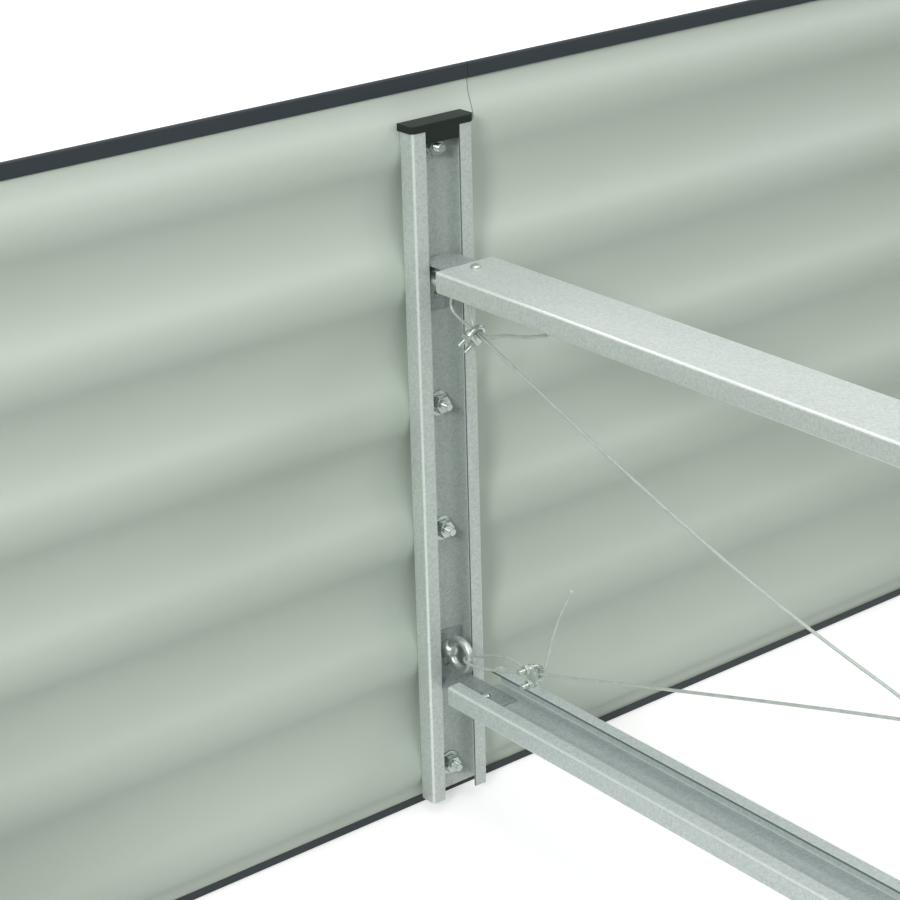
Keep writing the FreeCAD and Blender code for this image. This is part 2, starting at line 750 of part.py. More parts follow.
def corner_post(name, corner):
    """An extruded corner: a square tube with a rounded nose and a slot on two sides for the panel ends."""
    body = new_body("corner_post_" + name)
    section = sketch_on(body, "XY_Plane", body.Name + "_section")
    outline(section, [
        (fin_end, slot_outer), (fin_end, fin_outer), (fin_outer, fin_outer), (fin_outer, fin_end),
        (slot_outer, fin_end), (slot_outer, tube_side), (slot_inner, tube_side), (slot_inner, fin_end),
        (fin_inner, fin_end), (fin_inner, tube_side), (tube_side, tube_side), (tube_side, fin_inner),
        (fin_end, fin_inner), (fin_end, slot_inner), (tube_side, slot_inner), (tube_side, slot_outer),
    ])
    pad(body, section, corner_top)
    bore = sketch_on(body, "XY_Plane", body.Name + "_bore")
    low = tube_side + size("corner_wall")
    rectangle(bore, low, slot_outer, low, slot_outer)
    pocket(body, bore)
    round_corner(body, "X", "Y", slot_outer, slot_outer, size("corner_nose") - size("corner_wall"))
    round_corner(body, "X", "Y", fin_outer, fin_outer, size("corner_nose"))
    hole = size("tapper_shank") + size("seat_gap")
    for plane, reverse in (("XZ_Plane", True), ("YZ_Plane", False)):
        holes = sketch_on(body, plane, "%s_%s_holes" % (body.Name, plane[:2]))
        for level in screw_levels:
            hexagon_hole(holes, -screw_inset, level, hole)
        pocket(body, holes, -fin_inner + size("seat_gap"), reverse)
    x, y, turn = corner
    place(body, x, y, 0, turn)


def corner_cap(name, corner):
    """A plate over the whole section of a corner post, with a plug inside the tube."""
    body = new_body("corner_cap_" + name)
    lap = size("cap_lap")
    nose = fin_outer + lap
    end = fin_end - lap
    inner = fin_inner - lap
    tube = tube_side - lap
    plate = sketch_on(body, "XY_Plane", body.Name + "_plate")
    outline(plate, [(end, nose), (nose, nose), (nose, end), (inner, end), (inner, tube), (tube, tube),
                    (tube, inner), (end, inner)])
    pad(body, plate, size("cap_plate"))
    round_corner(body, "X", "Y", nose, nose, size("corner_nose") + lap)
    plug = sketch_on(body, "XY_Plane", body.Name + "_plug")
    play = size("cap_play")
    low = tube_side + size("corner_wall") + play
    high = slot_outer - play
    bevel = size("corner_nose") - size("corner_wall")
    outline(plug, [(low, low), (high, low), (high, high - bevel), (high - bevel, high), (low, high)])
    downward_pad(body, plug, size("plug_drop"))
    x, y, turn = corner
    place(body, x, y, corner_top, turn)


# ---------------------------------------------------------------------------------------------------------------
# braces and brackets


def brace(label, web_level, opens_up):
    """A lipped channel across the bed, with a screw hole near each end of its web."""
    body = new_body(label)
    section = sketch_on(body, "XZ_Plane", label + "_section")
    outline(section, channel_points(size("brace_width"), size("brace_depth"), size("brace_lip"),
                                    size("steel_gauge")))
    pad(body, section, size("bed_width") - size("brace_gap") * 2, both_ways=True)
    holes = sketch_on(body, "XY_Plane", label + "_holes")
    for side in (1, -1):
        hexagon_hole(holes, 0, (half_width + brace_screw) * side, size("small_shank") + size("small_play"))
    pocket(body, holes)
    place(body, 0, 0, web_level, 180 if opens_up else 0, Vector(0, 1, 0))


def bracket(label, wall, level, upright):
    """An angle between post and brace. Its slotted hole fits both the upper and the lower brace."""
    body = new_body(label)
    section = sketch_on(body, "YZ_Plane", label + "_section")
    thick = size("bracket_gauge")
    reach = size("bracket_reach")
    height = size("bracket_height")
    outline(section, [(0, 0), (-reach, 0), (-reach, -thick), (-thick, -thick), (-thick, -height), (0, -height)])
    pad(body, section, size("bracket_width"), both_ways=True)
    round_corner(body, "Y", "Z", as_size(0), as_size(0), size("bracket_bend"))
    width = size("bolt_neck") + size("bolt_play")
    slot = sketch_on(body, "XZ_Plane", label + "_slot")
    hexagon_hole(slot, 0, -size("low_bolt_rise"), width, size("low_bolt_rise") - size("high_bolt_drop"))
    pocket(body, slot, thick * 2, True)
    screw = sketch_on(body, "XY_Plane", label + "_screw_hole")
    hexagon_hole(screw, 0, brace_screw - post_front, size("small_shank") + size("small_play"))
    pocket(body, screw)
    x, y, turn = WALLS[wall]
    inward = -1 if turn == 0 else 1
    place(body, x, y - post_front * inward, level, turn)
    if upright:
        flip = FreeCAD.Rotation(Vector(0, 1, 0), 180)
        body.Placement = FreeCAD.Placement(body.Placement.Base, body.Placement.Rotation.multiply(flip))


# ---------------------------------------------------------------------------------------------------------------
# fasteners


def seat_depth(index):
    """How far the head of a bolt stands off the bottom of its rib's groove, touching with its rim."""
    bend = size("rib_radius").value
    if index == 0:
        bend = min(bend, hem_bend(foot_run)[1])
    radius = bend - gauge.value / 2
    reach = abs(rib_levels[index].value - bolt_levels[index].value) + size("bolt_head").value / 2
    return radius - math.sqrt(radius * radius - reach * reach)


def post_bolts():
    """Square-necked bolts from outside, through both sheets and the post."""
    groove = (lap_shift - size("rib_rise") + gauge / 2 + size("seat_gap")).value
    square_end = (post_front + size("seat_gap")).value
    tip = (post_back - size("bolt_reach")).value
    neck = size("bolt_neck").value
    shapes = []
    for wall in LONG_WALLS:
        for index, level in enumerate(bolt_levels):
            seat = groove + seat_depth(index)
            head = regular_bar(size("bolt_head").value / 2, seat, seat + size("bolt_head_rise").value, FACETS_ROUND)
            square = Part.makeBox(neck, seat - square_end, neck, Vector(-neck / 2, square_end, -neck / 2))
            shank = regular_bar(neck / 2, tip, square_end, FACETS_HEXAGON)
            bolt = head.fuse([square, shank]).removeSplitter()
            bolt.Placement = wall_spot(wall, 0, 0, level.value)
            shapes.append(bolt)
    solid("post_bolts", Part.makeCompound(shapes))


def regular_bar(radius, low, high, sides):
    """A bar of regular section along Y, between two Y values."""
    points = []
    for step in range(sides + 1):
        angle = 2 * math.pi * (step + 0.5) / sides
        points.append(Vector(radius * math.cos(angle), low, radius * math.sin(angle)))
    return Part.Face(Part.makePolygon(points)).extrude(Vector(0, high - low, 0))


def ring_bar(radius, bore, low, high, sides):
    """A bar of regular section along Y with a six-sided bore that a shank fits."""
    outer = regular_bar(radius, low, high, sides)
    return outer.cut(regular_bar(bore / 2 + size("seat_gap").value, low - 1, high + 1, FACETS_HEXAGON))


def bar_along(points, radius, sides, closed=False):
    """A bar of regular section along a run of points, mitred at each of them; a closed one is a ring."""
    count = len(points)
    runs = [(after - before).normalize() for before, after in zip(points, points[1:])]
    if closed:
        runs.append((points[0] - points[-1]).normalize())
        first_plane = (runs[-1] + runs[0]).normalize()
    else:
        first_plane = runs[0]
    side = Vector(1, 0, 0)
    if side.getAngle(runs[0]) < 0.1 or side.getAngle(-runs[0]) < 0.1:
        side = Vector(0, 0, 1)
    side = side.cross(runs[0]).normalize()
    rise = runs[0].cross(side)
    section = []
    for step in range(sides):
        angle = 2 * math.pi * step / sides
        spot = points[0] + side * (radius * math.cos(angle)) + rise * (radius * math.sin(angle))
        section.append(on_plane(spot, runs[0], points[0], first_plane))
    sections = [section]
    for index in range(1, count):
        before = runs[index - 1]
        plane = (before + runs[index]).normalize() if index < len(runs) else before
        sections.append([on_plane(spot, before, points[index], plane) for spot in sections[-1]])
    if closed:
        sections.append(section)
    faces = []
    for low, high in zip(sections, sections[1:]):
        for step in range(sides):
            other = (step + 1) % sides
            faces.append(Part.Face(Part.makePolygon([low[step], low[other], high[other], high[step], low[step]])))
    if not closed:
        faces += [Part.Face(Part.makePolygon(end + end[:1])) for end in (sections[0], sections[-1])]
    bar = Part.Solid(Part.makeShell(faces))
    bar.fix(0.001, 0.001, 0.001)
    return bar if bar.Volume > 0 else bar.reversed()


def on_plane(spot, along, point, normal):
    """Where the line through a spot meets the plane through a point."""
    return spot + along * ((point - spot).dot(normal) / along.dot(normal))


def arc_points(centre, start, turn_to, steps, angle):
    """Points on an arc that starts at an offset from its centre and turns towards another offset."""
    spots = []
    for step in range(steps + 1):
        share = angle * step / steps
        spots.append(centre + start * math.cos(share) + turn_to * math.sin(share))
    return spots


def corner_radius(across_flats):
    return across_flats / (2 * math.cos(math.pi / FACETS_HEXAGON))


def post_nuts_and_washers():
    """A washer and a hexagon nut on each post bolt that carries no eye nut."""
    front = post_front.value
    washer_face = front - size("washer_gauge").value
    nut_face = washer_face - size("nut_height").value
    bore = size("bolt_neck").value
    washer = ring_bar(size("washer_width").value / 2, bore, washer_face, front, FACETS_ROUND)
    nut = ring_bar(corner_radius(size("nut_flats").value), bore, nut_face, washer_face, FACETS_HEXAGON)
    washers = []
    nuts = []
    for wall in LONG_WALLS:
        for level in bolt_levels:
            if level not in (low_eye_level, high_eye_level):
                spot = wall_spot(wall, 0, 0, level.value)
                washers.append(moved(washer, spot))
                nuts.append(moved(nut, spot))
    solid("post_washers", Part.makeCompound(washers))
    solid("post_nuts", Part.makeCompound(nuts))


def moved(shape, spot):
    copy = shape.copy()
    copy.Placement = spot.multiply(copy.Placement)
    return copy


def panel_screws():
    """Self-tapping screws that hold the panel ends in the slots of the corner posts."""
    head_face = fin_inner.value
    head = regular_bar(corner_radius(size("tapper_flats").value), head_face - size("tapper_head_rise").value,
                       head_face, FACETS_HEXAGON)
    tip = slot_inner.value + size("tapper_tip").value
    shank = regular_bar(size("tapper_shank").value / 2, head_face, tip, FACETS_SQUARE)
    screw = head.fuse(shank).removeSplitter()
    shapes = []
    for wall in LONG_WALLS + END_WALLS:
        reach = half_length if wall in LONG_WALLS else half_width
        for side in (1, -1):
            for level in screw_levels:
                x = side * (reach - screw_inset).value
                shapes.append(moved(screw, wall_spot(wall, x, 0, level.value)))
    solid("panel_screws", Part.makeCompound(shapes))


def brace_screws_and_nuts():
    """One screw at each brace end, head up, with its nut below."""
    web = size("steel_gauge").value
    leg = size("bracket_gauge").value
    rise = size("small_head_rise").value
    nut_height = size("small_nut").value
    grip = web + leg
    upright = FreeCAD.Rotation(Vector(1, 0, 0), 90)
    head = regular_bar(size("small_head").value / 2, 0, rise, FACETS_ROUND)
    shank = regular_bar(size("small_shank").value / 2, -(grip + nut_height + size("thread_end").value), 0,
                        FACETS_HEXAGON)
    screw = head.fuse(shank).removeSplitter()
    nut = ring_bar(corner_radius(size("small_flats").value), size("small_shank").value, -(grip + nut_height), -grip,
                   FACETS_HEXAGON)
    tops = (high_brace_web.value + web, low_brace_web.value + leg)
    screws = []
    nuts = []
    for wall in LONG_WALLS:
        for top in tops:
            spot = wall_spot(wall, 0, brace_screw.value, top, upright)
            screws.append(moved(screw, spot))
            nuts.append(moved(nut, spot))
    solid("brace_screws", Part.makeCompound(screws))
    solid("brace_nuts", Part.makeCompound(nuts))


# ---------------------------------------------------------------------------------------------------------------
# eye nuts, wires and clips


def eye_nut(label, wall, level, quarter_turn):
    """A ring on a collar, screwed on a post bolt in front of the bracket, upright or turned flat."""
    section = size("eye_section").value / 2
    ring_radius = size("eye_width").value / 2 - section
    centre = Vector(0, (bracket_face - size("eye_stand")).value, 0)
    across = Vector(ring_radius, 0, 0) if quarter_turn else Vector(0, 0, ring_radius)
    spots = arc_points(centre, Vector(0, -ring_radius, 0), across, FACETS_RING, 2 * math.pi)
    ring = bar_along(spots[:-1], section, FACETS_HEXAGON, closed=True)
    face = bracket_face.value
    collar = regular_bar(size("eye_collar").value / 2, face - size("eye_collar_rise").value, face, FACETS_ROUND)
    bore = regular_bar(size("bolt_neck").value / 2 + size("seat_gap").value, centre.y, face + 1, FACETS_HEXAGON)
    solid(label, moved(ring.fuse(collar).cut(bore), wall_spot(wall, 0, 0, level.value)))


# The route of a wire, from its upper free end at the rear wall to its lower free end at the front wall. Each row
# holds the place along the bed, the distance from the wall that the end hangs at, and the height above the eye nut.
HIGH_END = [
    (4.0, 153.0, -22.7), (3.4, 131.0, -24.7), (2.4, 109.0, -29.1), (1.3, 90.0, -35.9), (0.88, 78.0, -41.22),
    (0.88, 59.5, -34.93), (0.9, 54.0, -22.7), (0.3, 49.5, 4.8), (-0.3, 40.0, 4.8), (-0.5, 37.5, -10.7),
    (-0.8, 31.5, -22.2), (-0.95, 38.0, -30.2), (-0.88, 59.0, -36.52), (-0.88, 80.0, -43.66), (-0.8, 100.0, -51.5),
    (-0.5, 127.0, -62.3), (0.0, 180.0, -82.8), (0.6, 270.0, -117.1), (1.1, 370.0, -151.1), (1.4, 470.0, -178.5),
    (1.7, 570.0, -200.1),
]
LOW_END = [
    (1.3, 152.0, 27.1), (1.3, 124.0, 18.5), (3.4, 94.0, 8.9), (4.75, 64.0, -0.1), (4.75, 40.0, -1.1),
    (-4.75, 40.0, 1.5), (-4.75, 56.0, 5.9), (-4.3, 78.0, 15.9), (-3.2, 102.0, 21.9), (-1.3, 124.0, 18.9),
    (-1.3, 150.0, 26.5), (-1.7, 164.0, 41.3), (-2.1, 173.0, 65.3), (-2.4, 181.0, 113.3),
]
# Middle of each clip, between the two strands, the way that its legs point and the way that the strands run.
HIGH_CLIP = (0.0, 68.0, -38.7)
HIGH_CLIP_LEGS = Vector(-1, 0, -1)
HIGH_CLIP_RUN = Vector(0, -1, -0.34)
LOW_CLIP = (0.0, 138.0, 22.8)
LOW_CLIP_LEGS = Vector(1, 0, 0)
LOW_CLIP_RUN = Vector(0, -1, -0.305)


def high_spot(row):
    """A row of the wire's upper end in the frame of the bed."""
    x, away, rise = row
    return Vector(x, half_width.value - away, high_eye_level.value + rise)


def low_spot(row):
    """A row of the wire's lower end in the frame of the bed."""
    x, away, rise = row
    return Vector(x, away - half_width.value, low_eye_level.value + rise)


def rounded_path(points):
    """The same run of points with an arc at each corner that turns far, as large as its two runs allow."""
    step = 2 * math.pi / FACETS_RING
    path = points[:1]
    radii = []
    for before, corner, after in zip(points, points[1:], points[2:]):
        back = before - corner
        ahead = after - corner
        turn = math.pi - back.getAngle(ahead)
        if turn < step:
            path.append(corner)
            continue
        cut_back = 0.45 * min(back.Length, ahead.Length)
        radius = cut_back / math.tan(turn / 2)
        first = corner + back.normalize() * cut_back
        inward = (ahead.normalize() + back).normalize()
        centre = corner + inward * (radius / math.cos(turn / 2))
        start = first - centre
        heading = -back * radius
        path += arc_points(centre, start, heading, math.ceil(turn / step), turn)
        radii.append(radius)
    return path + points[-1:], min(radii)


def wire(label, turn):
    """One wire along its route; the second is the first turned half round about the middle of the bed."""
    route = [high_spot(row) for row in HIGH_END] + [low_spot(row) for row in LOW_END]
    path, radius = rounded_path(route)
    length = sum((after - before).Length for before, after in zip(path, path[1:]))
    print("%s: length %.0f, least bend radius %.1f" % (label, length, radius))
    shape = bar_along(path, size("wire_gauge").value / 2, FACETS_WIRE)
    if turn:
        shape.rotate(Vector(), Vector(0, 0, 1), turn)
    solid(label, shape)


def clip_spots():
    """Placements of the clips: local Y runs along the legs towards the nuts, local Z along the wires."""
    spots = []
    for middle, along, legs in ((high_spot(HIGH_CLIP), HIGH_CLIP_RUN, HIGH_CLIP_LEGS),
                                (low_spot(LOW_CLIP), LOW_CLIP_RUN, LOW_CLIP_LEGS)):
        across = legs.cross(along)
        spot = FreeCAD.Placement(middle, FreeCAD.Rotation(across, along.cross(across), along, "ZYX"))
        half_turn = FreeCAD.Placement(Vector(), FreeCAD.Rotation(Vector(0, 0, 1), 180))
        spots.append(spot)
        spots.append(half_turn.multiply(spot))
    return spots


def wire_clips():
    """Wire clips: a U-bolt round the two strands, a saddle across its legs and a nut on each leg."""
    rod = size("clip_rod").value
    half_spread = size("clip_spread").value / 2
    wire_radius = size("wire_gauge").value / 2
    play = size("clip_play").value
    pair = 2 * wire_radius + play
    bend_centre = half_spread - rod / 2 - pair
    saddle_face = pair
    nut_face = saddle_face + size("saddle_gauge").value
    nut_end = nut_face + size("small_nut").value
    leg_end = nut_end + size("thread_end").value
    bend = arc_points(Vector(0, bend_centre, 0), Vector(half_spread, 0, 0), Vector(0, -half_spread, 0), FACETS_BEND,
                      math.pi)
    ends = [Vector(side, leg_end, 0) for side in (half_spread, -half_spread)]
    u_bolt = bar_along(ends[:1] + bend + ends[1:], rod / 2, FACETS_HEXAGON)
    length = size("saddle_length").value
    width = size("saddle_width").value
    thickness = size("saddle_gauge").value
    saddle = Part.makeBox(length, thickness, width, Vector(-length / 2, saddle_face, -width / 2))
    nuts = []
    for side in (half_spread, -half_spread):
        bore = regular_bar(rod / 2 + play, saddle_face - 1, nut_face + 1, FACETS_HEXAGON)
        bore.translate(Vector(side, 0, 0))
        saddle = saddle.cut(bore)
        nut = ring_bar(corner_radius(size("small_flats").value), rod, nut_face, nut_end, FACETS_HEXAGON)
        nut.translate(Vector(side, 0, 0))
        nuts.append(nut)
    spots = clip_spots()
    solid("clip_u_bolts", Part.makeCompound([moved(u_bolt, spot) for spot in spots]))
    solid("clip_saddles", Part.makeCompound([moved(saddle, spot) for spot in spots]))
    solid("clip_nuts", Part.makeCompound([moved(nut, spot) for spot in spots for nut in nuts]))


# ---------------------------------------------------------------------------------------------------------------
# the bed


def build():
    wall_panels()
    edge_trims()
    for wall in LONG_WALLS:
        wall_post(wall)
        post_cap(wall)
        bracket("bracket_top_" + wall, wall, high_brace_web, False)
        bracket("bracket_bottom_" + wall, wall, low_brace_web, True)
        eye_nut("eye_nut_top_" + wall, wall, high_eye_level, True)
        eye_nut("eye_nut_bottom_" + wall, wall, low_eye_level, False)
    for name, corner in CORNERS.items():
        corner_post(name, corner)
        corner_cap(name, corner)
    brace("brace_top", high_brace_web + size("steel_gauge"), False)
    brace("brace_bottom", low_brace_web - size("steel_gauge"), True)
    post_bolts()
    post_nuts_and_washers()
    panel_screws()
    brace_screws_and_nuts()
    wire("wire_from_rear_top", 0)
    wire("wire_from_front_top", 180)
    wire_clips()


def sub_parts():
    """The finished pieces: every body, and every other shape that no later feature uses."""
    parts = []
    for item in document.Objects:
        if item.TypeId == "PartDesign::Body":
            parts.append(item)
        elif item.TypeId in ("Part::Cut", "Part::Feature") and not item.InList:
            parts.append(item)
    return parts


def check_and_export():
    document.recompute()
    for item in document.Objects:
        if "Invalid" in item.State or "Error" in item.State:
            raise RuntimeError("%s did not compute" % item.Label)
    os.makedirs("parts", exist_ok=True)
    parts = sub_parts()
    for item in parts:
        shape = item.Shape
        if shape.isNull() or not shape.isValid() or not shape.Solids:
            raise RuntimeError("%s has no sound shape" % item.Label)
    for item in parts:
        item.Shape.exportStep(os.path.join("parts", item.Label + ".step"))
    print("%d nodes, %d solids" % (len(parts), sum(len(item.Shape.Solids) for item in parts)))


build()
check_and_export()
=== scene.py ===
"""Looks of a raised garden bed of corrugated sheet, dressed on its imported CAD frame.

Row frame: the origin is on the ground in the middle of the bed, X runs along it, Y across it and Z up.
Sizes of the bed are millimetres, as on a workshop drawing. Meshes, finishes and the studio are in metres.
"""
from __future__ import annotations

import logging
import math
from collections.abc import Callable, Sequence
from dataclasses import dataclass, field
from enum import Enum
from typing import Any

import bmesh
import bpy
from mathutils import Matrix, Vector

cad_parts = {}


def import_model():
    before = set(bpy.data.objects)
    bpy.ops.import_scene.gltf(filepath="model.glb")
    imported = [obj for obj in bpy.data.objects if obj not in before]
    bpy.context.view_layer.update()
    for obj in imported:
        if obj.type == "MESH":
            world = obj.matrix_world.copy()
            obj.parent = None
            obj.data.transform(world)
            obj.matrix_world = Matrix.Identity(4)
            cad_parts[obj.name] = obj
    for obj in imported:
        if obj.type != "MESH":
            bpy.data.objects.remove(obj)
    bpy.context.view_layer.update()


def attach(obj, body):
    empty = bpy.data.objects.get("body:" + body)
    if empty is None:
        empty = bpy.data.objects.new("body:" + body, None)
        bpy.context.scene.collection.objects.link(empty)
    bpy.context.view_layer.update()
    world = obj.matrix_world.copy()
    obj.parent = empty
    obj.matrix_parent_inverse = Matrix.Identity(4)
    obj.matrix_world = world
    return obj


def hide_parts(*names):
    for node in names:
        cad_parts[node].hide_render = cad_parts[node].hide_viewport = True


log = logging.getLogger("garden_bed")

Material = bpy.types.Material
Node = bpy.types.Node
Piece = bpy.types.Object
Shape = bmesh.types.BMesh
Socket = bpy.types.NodeSocket
Colour = tuple[float, float, float]
Spot = tuple[float, float, float]
Seat = tuple[Vector, Vector]
Outline = tuple[tuple[float, float], ...]

MM = 0.001
BODY = "root"
QUARTER = math.pi / 2
UP = Vector((0, 0, 1))
WHITE = (1.0, 1.0, 1.0, 1.0)
HEXAGON = 6
CUT, BENT = 1, 2  # material indices of a folded sheet's cut edges and of its bends, which carry a painted highlight
HIGHLIGHT_SPAN = (0.2, 0.8)  # the part of a bend's arc that carries the painted highlight


class Wall(Enum):
    """The four walls: trim plane x, trim plane y (mm) and turn (degrees) of each wall's own frame."""

    REAR = (0.0, 570.0, 0.0)
    FRONT = (0.0, -570.0, 180.0)
    LEFT = (-1090.0, 0.0, 90.0)
    RIGHT = (1090.0, 0.0, -90.0)

    @property
    def frame(self) -> Matrix:
        """Matrix from the wall's frame (X along, Y outwards, Z up) to the bed's, in metres."""
        x, y, turn = self.value
        return Matrix.Translation((x * MM, y * MM, 0)) @ Matrix.Rotation(math.radians(turn), 4, "Z")

    def spot(self, along: float, out: float, height: float) -> Vector:
        """A point given in the wall's frame, in mm, as a point of the bed in metres."""
        return self.frame @ Vector((along * MM, out * MM, height * MM))

    def way(self, along: float, out: float, height: float) -> Vector:
        """A direction given in the wall's frame, in the bed's frame."""
        return self.frame.to_3x3() @ Vector((along, out, height))


LONG_WALLS = ((Wall.REAR, "rear"), (Wall.FRONT, "front"))


def srgb(red: int, green: int, blue: int) -> Colour:
    """Linear colour of a screen colour.

    Args:
        red: red, 0 to 255.
        green: green, 0 to 255.
        blue: blue, 0 to 255.

    Returns:
        The three linear values.
    """
    shares = (level / 255 for level in (red, green, blue))
    return tuple(share / 12.92 if share <= 0.04045 else ((share + 0.055) / 1.055) ** 2.4
                 for share in shares)


def spaced(start: float, end: float, count: int) -> list[float]:
    """Values from start to end in a number of equal steps."""
    return [start + (end - start) * number / count for number in range(count + 1)]


def circle(sides: int) -> list[tuple[float, float]]:
    """Cosine and sine of each step round a circle."""
    return [(math.cos(turn), math.sin(turn)) for turn in spaced(0.0, math.tau, sides)[:-1]]


def placed(name: str, data: bpy.types.ID) -> Piece:
    """A new object of the scene.

    Args:
        name: its name.
        data: its mesh, curve, camera or lamp.

    Returns:
        The object.
    """
    piece = bpy.data.objects.new(name, data)
    bpy.context.scene.collection.objects.link(piece)
    return piece


# ------------------------------------------------------------
# node trees


class Field:
    """A number socket that takes part in arithmetic; each operation adds a Math node."""

    def __init__(self, tree: "NodeTree", socket: Socket) -> None:
        """Wrap a socket of a tree."""
        self.tree = tree
        self.socket = socket

    def math(self, operation: str, other: Any = 0.0, clamp: bool = False) -> "Field":
        """The result of a Math node on this value and another, which may be kept within 0 and 1."""
        node = self.tree.node("ShaderNodeMath", {0: self, 1: other}, operation=operation, use_clamp=clamp)
        return Field(self.tree, node.outputs[0])

    def __add__(self, other: Any) -> "Field":
        """Sum."""
        return self.math("ADD", other)

    __radd__ = __add__

    def __sub__(self, other: Any) -> "Field":
        """Difference."""
        return self.math("SUBTRACT", other)

    def __rsub__(self, other: Any) -> "Field":
        """Difference from a number."""
        return self * -1.0 + other

    def __mul__(self, other: Any) -> "Field":
        """Product."""
        return self.math("MULTIPLY", other)

    __rmul__ = __mul__

    def __truediv__(self, other: Any) -> "Field":
        """Quotient."""
        return self.math("DIVIDE", other)

    def __pow__(self, other: Any) -> "Field":
        """Power."""
        return self.math("POWER", other)

    def __abs__(self) -> "Field":
        """Absolute value."""
        return self.math("ABSOLUTE")

    def below(self, limit: float) -> "Field":
        """1 where the value is less than a limit, else 0."""
        return self.math("LESS_THAN", limit)

    def clamped(self) -> "Field":
        """The value kept within 0 and 1."""
        return self.math("ADD", clamp=True)


class NodeTree:
    """A node tree, and the way in which nodes are added to it."""

    def __init__(self, tree: bpy.types.NodeTree) -> None:
        """Take over a tree and empty it."""
        self.tree = tree
        self.tree.nodes.clear()

    def node(self, kind: str, values: dict[Any, Any] | None = None, **settings: Any) -> Node:
        """Add a node.

        Args:
            kind: the node's type.
            values: values or links of its sockets, by name or number.
            settings: its properties, which are set first.

        Returns:
            The node.
        """
        made = self.tree.nodes.new(kind)
        for name, value in settings.items():
            setattr(made, name, value)
        for name, value in (values or {}).items():
            value = value.socket if isinstance(value, Field) else value
            if isinstance(value, Socket):
                self.tree.links.new(value, made.inputs[name])
            else:
                made.inputs[name].default_value = value
        return made

    def socket(self, kind: str, values: dict[Any, Any] | None = None, **settings: Any) -> Socket:
        """Add a node and return its first output."""
        return self.node(kind, values, **settings).outputs[0]

    def axes(self, vector: Socket) -> list[Field]:
        """X, Y and Z of a vector."""
        return [Field(self, output) for output in self.node("ShaderNodeSeparateXYZ", {0: vector}).outputs]

    def vector(self, x: Any = 0.0, y: Any = 0.0, z: Any = 0.0) -> Socket:
        """A vector from three values."""
        return self.socket("ShaderNodeCombineXYZ", {0: x, 1: y, 2: z})


class Shader(NodeTree):
    """The node tree of one material, and the patterns that a finish takes from it."""

    def __init__(self, name: str) -> None:
        """Start an empty tree.

        Args:
            name: the material's name.
        """
        self.material = bpy.data.materials.new(name)
        self.material.use_nodes = True
        super().__init__(self.material.node_tree)
        self.coordinates = self.node("ShaderNodeTexCoord").outputs["Object"]

    def noise(self, scale: float, detail: float = 2.0, roughness: float = 0.5,
              stretch: Spot = (1.0, 1.0, 1.0)) -> Field:
        """Noise on object coordinates.

        Args:
            scale: cells per metre.
            detail: number of finer layers.
            roughness: strength of the finer layers.
            stretch: factor of the scale along each axis.

        Returns:
            The level, from 0 to 1.
        """
        mapped = self.socket("ShaderNodeMapping", {"Vector": self.coordinates, "Scale": stretch})
        return Field(self, self.socket("ShaderNodeTexNoise", {
            "Vector": mapped, "Scale": scale, "Detail": detail, "Roughness": roughness}))

    def cells(self, scale: float) -> Field:
        """A random level for each crystal of a Voronoi pattern, by cells per metre."""
        node = self.node("ShaderNodeTexVoronoi", {"Vector": self.coordinates, "Scale": scale}, feature="F1")
        return Field(self, self.socket("ShaderNodeSeparateColor", {0: node.outputs["Color"]}))

    def mixed(self, first: Colour | Socket, second: Colour, share: Field) -> Socket:
        """A colour between a colour or a colour's socket, at share 0, and a second colour, at share 1."""
        values = {0: share, 6: first if isinstance(first, Socket) else (*first, 1.0), 7: (*second, 1.0)}
        return self.node("ShaderNodeMix", values, data_type="RGBA").outputs[2]

    def bumped(self, height: Field, strength: float, distance: float = 0.0002) -> Socket:
        """The normal of a surface with a relief of a strength and a depth in metres."""
        return self.socket("ShaderNodeBump", {"Strength": strength, "Distance": distance, "Height": height})

    def close(self, values: dict[str, Any]) -> Material:
        """Add the surface shader and return the finished material."""
        self.node("ShaderNodeOutputMaterial", {"Surface": self.socket("ShaderNodeBsdfPrincipled", values)})
        return self.material


# ------------------------------------------------------------
# finishes


@dataclass(frozen=True)
class SatinPaint:
    """Coil-coated satin paint on the corrugated sheet, with a fine line of shade where two panels lap."""

    name: str = "sage_satin_paint"
    colour: Colour = srgb(203, 212, 203)
    shade: Colour = srgb(194, 205, 193)
    lap_shadow_colour: Colour = srgb(96, 104, 93)
    lap_share: float = 0.8
    lap_place: float = 0.0486
    lap_line: float = 0.0008
    lap_foot: float = 0.633
    cloud_scale: float = 3.0
    peel_scale: float = 650.0
    roughness: float = 0.44
    roughness_range: float = 0.05

    def build(self) -> Material:
        """Make the material.

        Returns:
            The material.
        """
        shader = Shader(self.name)
        cloud = shader.noise(self.cloud_scale, 3.0)
        peel = shader.noise(self.peel_scale)
        along, across, height = shader.axes(shader.coordinates)
        # Painted shade: a dark line on the sheet along each lap, for the shadow in the gap, only above the
        # lap foot height.
        beside = abs(along * across.math("SIGN") - self.lap_place).below(self.lap_line)
        high = 1.0 - height.below(self.lap_foot)
        clean = shader.mixed(self.colour, self.shade, cloud)
        return shader.close({
            "Base Color": shader.mixed(clean, self.lap_shadow_colour, beside * high * self.lap_share),
            "Roughness": self.roughness + (peel - 0.5) * self.roughness_range,
            "Normal": shader.bumped(peel, 0.12),
            "Specular IOR Level": 0.45,
        })


